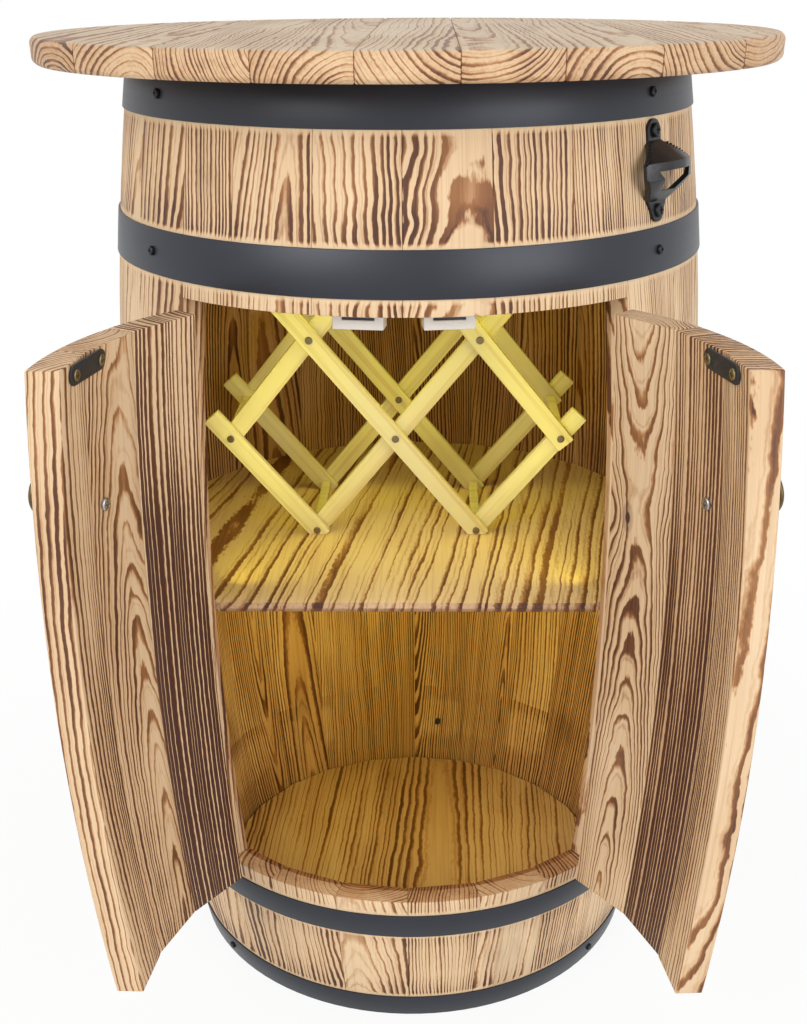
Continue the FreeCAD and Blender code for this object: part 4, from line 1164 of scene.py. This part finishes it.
dressed("table_top", TABLE, "spruce_table", "barrel", 0.0016, 3)
for node, wood in (("floor_board", PANEL), ("top_head", PANEL), ("shelf", SHELF), ("shelf_cleats", PANEL)):
    dressed(node, wood, "spruce_boards", "barrel", 0.0006)
dressed("hoops", HOOP, "hoop_steel", "barrel", 0.0003)
for layer in ("front", "rear"):
    dressed(f"rack_{layer}_falling_slats", PINE_FALLING, "pine_rack", "barrel", 0.0006)
    dressed(f"rack_{layer}_rising_slats", PINE_RISING, "pine_rack", "barrel", 0.0006)
dressed("rack_spacers", PINE_PLAIN, "pine_rack", "barrel", 0.0005)
dressed("power_inlet", SOCKET, "inlet_plastic", "barrel", 0.0004)
dressed("catch_poles", POLE, "pole_steel", "barrel", 0.0002)
for word in SIDES:
    dressed("led_strip_" + word, TAPE, "tape_plastic", "barrel", 0.0001)
    dressed("catch_" + word, WHITE, "catch_plastic", "barrel", 0.0006)
    dressed("strike_" + word, STRIKE, "strike_steel", word + "_door", 0.0003)
    dressed("hinge_door_leaves_" + word, HINGE, "hinge_steel", word + "_door", 0.0003)
    dressed("hinge_frame_leaves_" + word, HINGE, "hinge_steel", "barrel", 0.0003)

# %% [markdown]
# ## Knobs
#
# A knob is a turned piece: a foot on the door, a slim neck and a flat mushroom head with a
# groove near its rim. Half its outline is drawn once as a chain of points, here as radius and
# height in millimetres, and spun round its own axis, as on a lathe. Then it goes to its stave
# and swings out with the door.

# %% Turned knobs
FLAT_DEPTH = flat_depth(STAVE_ANGLE / 2)
KNOB_ANGLE = DOORWAY - 1.5 * STAVE_ANGLE
KNOB_HEIGHT = 0.530
KNOB_SHIFT = 0.0143
KNOB_OUTLINE = (
    (0.0, 0.0), (9.0, 0.0), (9.2, 0.8), (8.4, 2.0), (5.6, 3.0), (4.6, 6.0), (4.4, 14.0),
    (5.4, 20.0), (8.0, 23.4), (13.5, 25.6), (15.6, 26.8), (16.0, 28.2), (15.5, 29.6),
    (13.8, 30.4), (13.0, 30.0), (12.2, 30.6), (8.5, 32.6), (4.0, 33.7), (0.0, 34.0),
)


def at_knob(word, depth):
    """Placement where a door's knob is, at a depth behind the door's outside."""
    side = SIDES[word]
    return swing(word) @ on_stave(side * KNOB_ANGLE, KNOB_HEIGHT, depth, -side * KNOB_SHIFT)


def turned_knob(word):
    """A knob on its door."""
    outline = bpy.data.meshes.new("knob_outline")
    points = [(radius / 1000, 0, height / 1000) for radius, height in KNOB_OUTLINE]
    outline.from_pydata(points, [(index, index + 1) for index in range(len(points) - 1)], [])
    knob = new_piece(f"knob_{word}_turned", outline)
    edit(knob)
    bpy.ops.mesh.spin(steps=40, angle=2 * math.pi, center=(0, 0, 0), axis=(0, 0, 1))
    bpy.ops.mesh.select_all(action="SELECT")
    bpy.ops.mesh.remove_doubles(threshold=0.00001)
    bpy.ops.mesh.normals_make_consistent(inside=False)
    leave()
    smooth(knob, 50)
    knob.data.transform(at_knob(word, FLAT_DEPTH))
    hand_over(knob, BRONZE, "knob_bronze", word + "_door", "knob_" + word)
    print(knob.name, "faces:", len(knob.data.polygons))


for word in SIDES:
    turned_knob(word)

# %% [markdown]
# ## Bottle opener
#
# The cast opener's hood is a visor: furthest from the wood in its middle and falling back to
# both sides. The construction has it as a straight bend, so the copy goes to the opener's own
# directions, gets cuts across its width and then has its sides pushed back and outwards.

# %% Visor
OPENER_HEIGHT = 0.717
OPENER_SHIFT = 0.0041
VISOR_CUTS = (-0.020, -0.016, -0.012, -0.009, -0.006, 0.006, 0.009, 0.012, 0.016, 0.020)
VISOR_FALL = 0.36
VISOR_BEND = 1.4
VISOR_SPREAD = 1.2
VISOR_START = 0.006
VISOR_HALF = 0.029
opener = on_stave(DOORWAY + STAVE_ANGLE / 2, OPENER_HEIGHT, FLAT_DEPTH, OPENER_SHIFT)


def beyond_middle(across):
    """How far a point is outside the visor's straight middle."""
    return max(0.0, abs(across) - VISOR_START)


def fallen(across, out):
    """How far out a point of the visor is, once its sides are pushed back."""
    reach = beyond_middle(across) / (VISOR_HALF - VISOR_START)
    return out * (1 - VISOR_FALL * reach**VISOR_BEND)


visor = copy_of("bottle_opener", "bottle_opener_finished")
visor.data.transform(opener.inverted())
edit(visor)
for cut in VISOR_CUTS:
    bpy.ops.mesh.select_all(action="SELECT")
    bpy.ops.mesh.bisect(plane_co=(0, cut, 0), plane_no=(0, 1, 0), use_fill=False)
leave()
for point in visor.data.vertices:
    point.co.y += math.copysign(beyond_middle(point.co.y) * (VISOR_SPREAD - 1), point.co.y)
    point.co.z = fallen(point.co.y, point.co.z)
ease(visor, 0.0011, 3, 30)
visor.data.transform(opener)
hand_over(visor, IRON, "opener_iron", "barrel", "bottle_opener")
print("opener faces:", len(visor.data.polygons))

# %% [markdown]
# ### Teeth
#
# A row of small teeth, as a file leaves, runs along both slanting edges of the hood. One
# tooth is a bevelled block. Its copies are joined into one piece.

# %% Teeth
TEETH = 9
TOOTH_SIZE = (0.0011, 0.0034, 0.0034)
TOOTH_TURN = 50
ROW_START = (-0.0170, 0.0090, 0.0065)
ROW_RUN = (0.0125, 0.0182, 0.0135)


def small_block(size, width):
    """A block with bevelled edges, to be copied many times."""
    bpy.ops.object.select_all(action="DESELECT")
    bpy.ops.mesh.primitive_cube_add(size=1)
    block = bpy.context.active_object
    block.scale = size
    bpy.ops.object.transform_apply(scale=True)
    apply_modifier(block, "BEVEL", width=width, segments=1)
    return block


def copies(model, places, name):
    """One piece made of copies of a model, which is then thrown away."""
    row = []
    for place in places:
        copy = new_piece("copy", model.data.copy())
        copy.data.transform(place)
        row.append(copy)
    only(*row)
    bpy.ops.object.join()
    joined = bpy.context.active_object
    joined.name = name
    bpy.data.objects.remove(model)
    return joined


places = []
for side in (-1, 1):
    for index in range(TEETH):
        share = (index + 0.5) / TEETH
        x, y, z = (start + share * run for start, run in zip(ROW_START, ROW_RUN))
        place = Matrix.Translation((x, side * y, fallen(y, z)))
        places.append(opener @ place @ Matrix.Rotation(side * math.radians(TOOTH_TURN), 4, "Z"))
teeth = copies(small_block(TOOTH_SIZE, 0.0004), places, "opener_teeth")
hand_over(teeth, IRON, "opener_iron", "barrel")
print("teeth:", len(places), "faces:", len(teeth.data.polygons))

# %% [markdown]
# ## Screws
#
# Hoops, hinges, catches, strike plates, knobs, opener and rack are held by pan-head screws
# with a cross recess. A head starts as a short cylinder; a bevel rounds its rim and two thin
# blocks cut the cross. It is modelled once for each row of screws and copied to its places, a
# little sunk into what it holds. A place is a matrix whose Z axis points out of the surface.
# The table gives each kind's radius and height in metres and its finish.

# %% One screw head, many places
SCREWS = {
    "hoop": (0.0034, 0.0022, PHOSPHATE),
    "rack": (0.0032, 0.0013, BRASS),
    "knob": (0.0046, 0.0026, ZINC),
    "strike": (0.0037, 0.0014, BRASS),
    "hinge": (0.0026, 0.0009, ZINC),
    "catch": (0.0024, 0.0012, ZINC),
    "opener": (0.0046, 0.0026, PHOSPHATE),
}
SUNK = 0.3
ROUNDED = 40
INWARD = Matrix.Rotation(math.radians(180), 4, "X")


def screw_head(radius, height):
    """A pan head with a cross recess, sunk by a share of its height."""
    bpy.ops.object.select_all(action="DESELECT")
    depth = (1 + SUNK) * height
    middle = (0, 0, height - depth / 2)
    bpy.ops.mesh.primitive_cylinder_add(vertices=20, radius=radius, depth=depth, location=middle)
    head = bpy.context.active_object
    bpy.ops.object.transform_apply(location=True)
    bevel(head, 0.45 * height, 3, ROUNDED)
    for turn in (0, 90):
        bpy.ops.object.select_all(action="DESELECT")
        way = (0, 0, math.radians(turn))
        bpy.ops.mesh.primitive_cube_add(size=1, location=(0, 0, height), rotation=way)
        cut = bpy.context.active_object
        cut.scale = (1.15 * radius, 0.26 * radius, 0.9 * height)
        bpy.ops.object.transform_apply(location=True, rotation=True, scale=True)
        apply_modifier(head, "BOOLEAN", object=cut, operation="DIFFERENCE", solver="EXACT")
        bpy.data.objects.remove(cut)
    smooth(head, ROUNDED)
    return head


def drive(name, kind, places, slot, body):
    """Puts a screw head of a kind at each place."""
    radius, height, material = SCREWS[kind]
    head = screw_head(radius, height)
    for index, place in enumerate(places):
        screw = new_piece(f"{name}_{index + 1}", head.data.copy())
        screw.data.transform(place)
        hand_over(screw, material, slot, body)
    bpy.data.objects.remove(head)
    print(name, len(places))


HOOP_SKIN = 0.0016
HOOP_SCREW_ANGLES = (-51.5, 51.5, -140, 140)
places = []
for bottom, top in HOOP_EDGES:
    for angle in HOOP_SCREW_ANGLES:
        places.append(on_stave(angle, (bottom + top) / 2, -HOOP_SKIN))
drive("hoop_screw", "hoop", places, "hoop_steel", "barrel")

# %% [markdown]
# ### Screws of the rack
#
# The slats are screwed together where they cross. A crossing is given in half lattice cells,
# to the right of the rack's middle and up from its foot.

# %% Screws of the rack
RACK_MIDDLE = -0.012
RACK_FOOT = 0.403
RACK_FACES = {"front": -0.030, "rear": 0.085}
CROSSINGS = ((-2, 1), (-1, 0), (-1, 2), (0, 1), (1, 0), (1, 2), (2, 1), (0, 3))
FACING_FRONT = Matrix.Rotation(math.radians(90), 4, "X")

for layer, face in RACK_FACES.items():
    places = []
    for right, up in CROSSINGS:
        middle = (RACK_MIDDLE + right * HALF_CELL[0], face, RACK_FOOT + up * HALF_CELL[1])
        places.append(Matrix.Translation(middle) @ FACING_FRONT)
    drive(f"rack_{layer}_screw", "rack", places, "pole_steel", "barrel")

# %% [markdown]
# ### Screws of the doors
#
# The knobs' screws come through from inside the doors, each strike plate has two, and every
# hinge leaf has three in a row.

# %% Screws of the doors
STRIKE_ANGLE = 10.65
STRIKE_HEIGHT = 0.628
STRIKE_FACE = 0.00287
STRIKE_REACH = 0.0178
LEAF_FACE = 0.0035
LEAF_MIDDLE = 0.0112
HINGE_SCREWS = [level + row for level in (-0.130, 0.130) for row in (-0.013, 0.0, 0.013)]


def hinge_place(word, on_frame, height):
    """Out of a hinge leaf's face, between its pin and its edge."""
    side = SIDES[word]
    pin = outward(side * DOORWAY) * PIN_RADIUS
    turn = STAVE_ANGLE / 2 if on_frame else -STAVE_ANGLE / 2
    out = outward(side * (DOORWAY + turn))
    across = Vector((-out.y, out.x, 0))
    away = side if on_frame else -side
    level = Vector((0, 0, BILGE_HEIGHT + height))
    place = pin - out * LEAF_FACE + across * (away * LEAF_MIDDLE) + level
    turned = Matrix((across, (0, 0, 1), out)).transposed().to_4x4()
    return Matrix.Translation(place) @ turned


for word, side in SIDES.items():
    door = word + "_door"
    inner = at_knob(word, STAVE_THICKNESS) @ INWARD
    drive(f"knob_{word}_screw", "knob", [inner], "knob_bronze", door)
    plate = swing(word) @ on_stave(side * STRIKE_ANGLE, STRIKE_HEIGHT, STAVE_THICKNESS)
    ends = [(0, reach, -STRIKE_FACE) for reach in (-STRIKE_REACH, STRIKE_REACH)]
    places = [plate @ Matrix.Translation(end) @ INWARD for end in ends]
    drive(f"strike_{word}_screw", "strike", places, "strike_steel", door)
    leaves = [swing(word) @ hinge_place(word, False, height) for height in HINGE_SCREWS]
    drive(f"hinge_{word}_door_screw", "hinge", leaves, "hinge_steel", door)
    leaves = [hinge_place(word, True, height) for height in HINGE_SCREWS]
    drive(f"hinge_{word}_frame_screw", "hinge", leaves, "hinge_steel", "barrel")

# %% [markdown]
# ### Catches and opener
#
# A catch is screwed to the lintel from inside the barrel, where only its narrow back shows.
# The opener's two black screws sit in its rounded ends.

# %% Screws of the catches and the opener
CATCH_BACK = 0.19484
CATCH_HEIGHT = 0.645
CATCH_SHIFT = 0.004
CATCH_REACH = 0.011
LUG_REACH = 0.026
LUG_FACE = 0.0045

for word, side in SIDES.items():
    out = outward(side * STAVE_ANGLE / 2)
    across = Vector((-out.y, out.x, 0))
    turned = Matrix((across, (0, 0, -1), -out)).transposed().to_4x4()
    middle = out * CATCH_BACK + across * (side * CATCH_SHIFT) + Vector((0, 0, CATCH_HEIGHT))
    places = [Matrix.Translation(middle + across * reach) @ turned for reach in (-CATCH_REACH, CATCH_REACH)]
    drive(f"catch_{word}_screw", "catch", places, "catch_plastic", "barrel")

lugs = [opener @ Matrix.Translation((reach, 0, LUG_FACE)) for reach in (-LUG_REACH, LUG_REACH)]
drive("opener_screw", "opener", lugs, "opener_iron", "barrel")

# %% [markdown]
# ## Chips of the lighting tapes
#
# A tape has a small yellow chip every 16.7 mm. One chip is a bevelled block; its copies follow
# the bent stave and are joined into one piece for each tape.

# %% Chips
CHIP_SIZE = (0.0035, 0.0028, 0.0009)
CHIP_PITCH = 0.0167
CHIPS = 31
TAPE_FACE = STAVE_THICKNESS + 0.00065
TAPE_BEND = BEND_RADIUS - TAPE_FACE
for word, side in SIDES.items():
    places = []
    for index in range(CHIPS):
        bend = (index - (CHIPS - 1) / 2) * CHIP_PITCH / TAPE_BEND
        level = BILGE_HEIGHT + TAPE_BEND * math.sin(bend)
        places.append(on_stave(side * (DOORWAY + STAVE_ANGLE / 2), level, TAPE_FACE))
    strip = copies(small_block(CHIP_SIZE, 0.0002), places, f"led_chips_{word}")
    hand_over(strip, CHIP, "tape_plastic", "barrel")
    print(strip.name, "chips:", CHIPS, "faces:", len(strip.data.polygons))

# %% [markdown]
# ## The light inside
#
# The two tapes on the jambs fill the cabinet with warm light. Their many small chips would
# make a noisy lamp, so two slim area lamps beside each tape do the lighting. Their narrowed
# beams stay inside the barrel and leave the open doors in the studio's light. The rack's
# slats stand so near the tapes that they would burn out, so the upper lamps are weak and a
# flat one under the head gives the shelf what is missing. The table pairs the height of a
# lamp's middle with its watts.

# %% Cabinet lamps
TAPE_LIGHT = (1.0, 0.96, 0.13)
TAPE_LAMPS = {0.27: 0.36, 0.52: 0.09}
TAPE_LAMP_ANGLE = 47.0
TAPE_LAMP_RADIUS = 0.205
TAPE_LAMP_SIZE = (0.012, 0.22)
TAPE_LAMP_SPREAD = 138
SHELF_LAMP_SIZE = (0.30, 0.24)
SHELF_LAMP_POWER = 0.30
SHELF_LAMP_SPREAD = 110


def narrowed(lamp, spread):
    """Keeps a lamp's light near its axis and the lamp itself out of mirrors."""
    lamp.data.spread = math.radians(spread)
    lamp.visible_glossy = False


for word, side in SIDES.items():
    for level, power in TAPE_LAMPS.items():
        name = f"TapeLamp_{word}_{round(level * 100)}"
        edge = outward(side * TAPE_LAMP_ANGLE) * TAPE_LAMP_RADIUS + Vector((0, 0, level))
        back = (0.0, 0.12, level)
        lamp = area_lamp(name, edge, back, *TAPE_LAMP_SIZE, power, TAPE_LIGHT)
        narrowed(lamp, TAPE_LAMP_SPREAD)
under_head = (0.0, -0.03, 0.735)
at_shelf = (0.0, -0.0301, 0.40)
lamp = area_lamp("ShelfLamp", under_head, at_shelf, *SHELF_LAMP_SIZE, SHELF_LAMP_POWER, TAPE_LIGHT)
narrowed(lamp, SHELF_LAMP_SPREAD)
print("watts inside:", round(2 * sum(TAPE_LAMPS.values()) + SHELF_LAMP_POWER, 2))

# %% [markdown]
# ## Floor
#
# A pale floor carries the cabinet's soft shadow. Rays from the camera see most of it as
# white, and further out all of it, so that it runs into the background without an edge.

# %% Floor
FLOOR_SIZE = 14
JUST_UNDER = 0.0004
SHADOW_REACH = 0.30
FADE = 0.70
SHADOW_SHARE = 0.10

bpy.ops.object.select_all(action="DESELECT")
bpy.ops.mesh.primitive_plane_add(size=FLOOR_SIZE, location=(0, 0, -JUST_UNDER))
floor = bpy.context.active_object
floor.name = "Floor"
ground = Finish("StudioFloor")
ground.set(Base_Color=colour("f4f4f4"), Roughness=0.9)
x, y, z = ground.parts(ground.place())
clearing = (((x * x + y * y).root() - SHADOW_REACH) / FADE).clamped()
as_white = ground.seen() * (clearing * SHADOW_SHARE + (1.0 - SHADOW_SHARE))
paint = Socket(ground, ground.shader.outputs[0])
shine = ground.add("ShaderNodeEmission", {}, WHITE_LIGHT, 1.0)
ground.feed(ground.result.inputs["Surface"], ground.add("ShaderNodeMixShader", {}, as_white, paint, shine))
floor.data.materials.append(ground.material)
print("the floor is", FLOOR_SIZE, "m wide")

# %% [markdown]
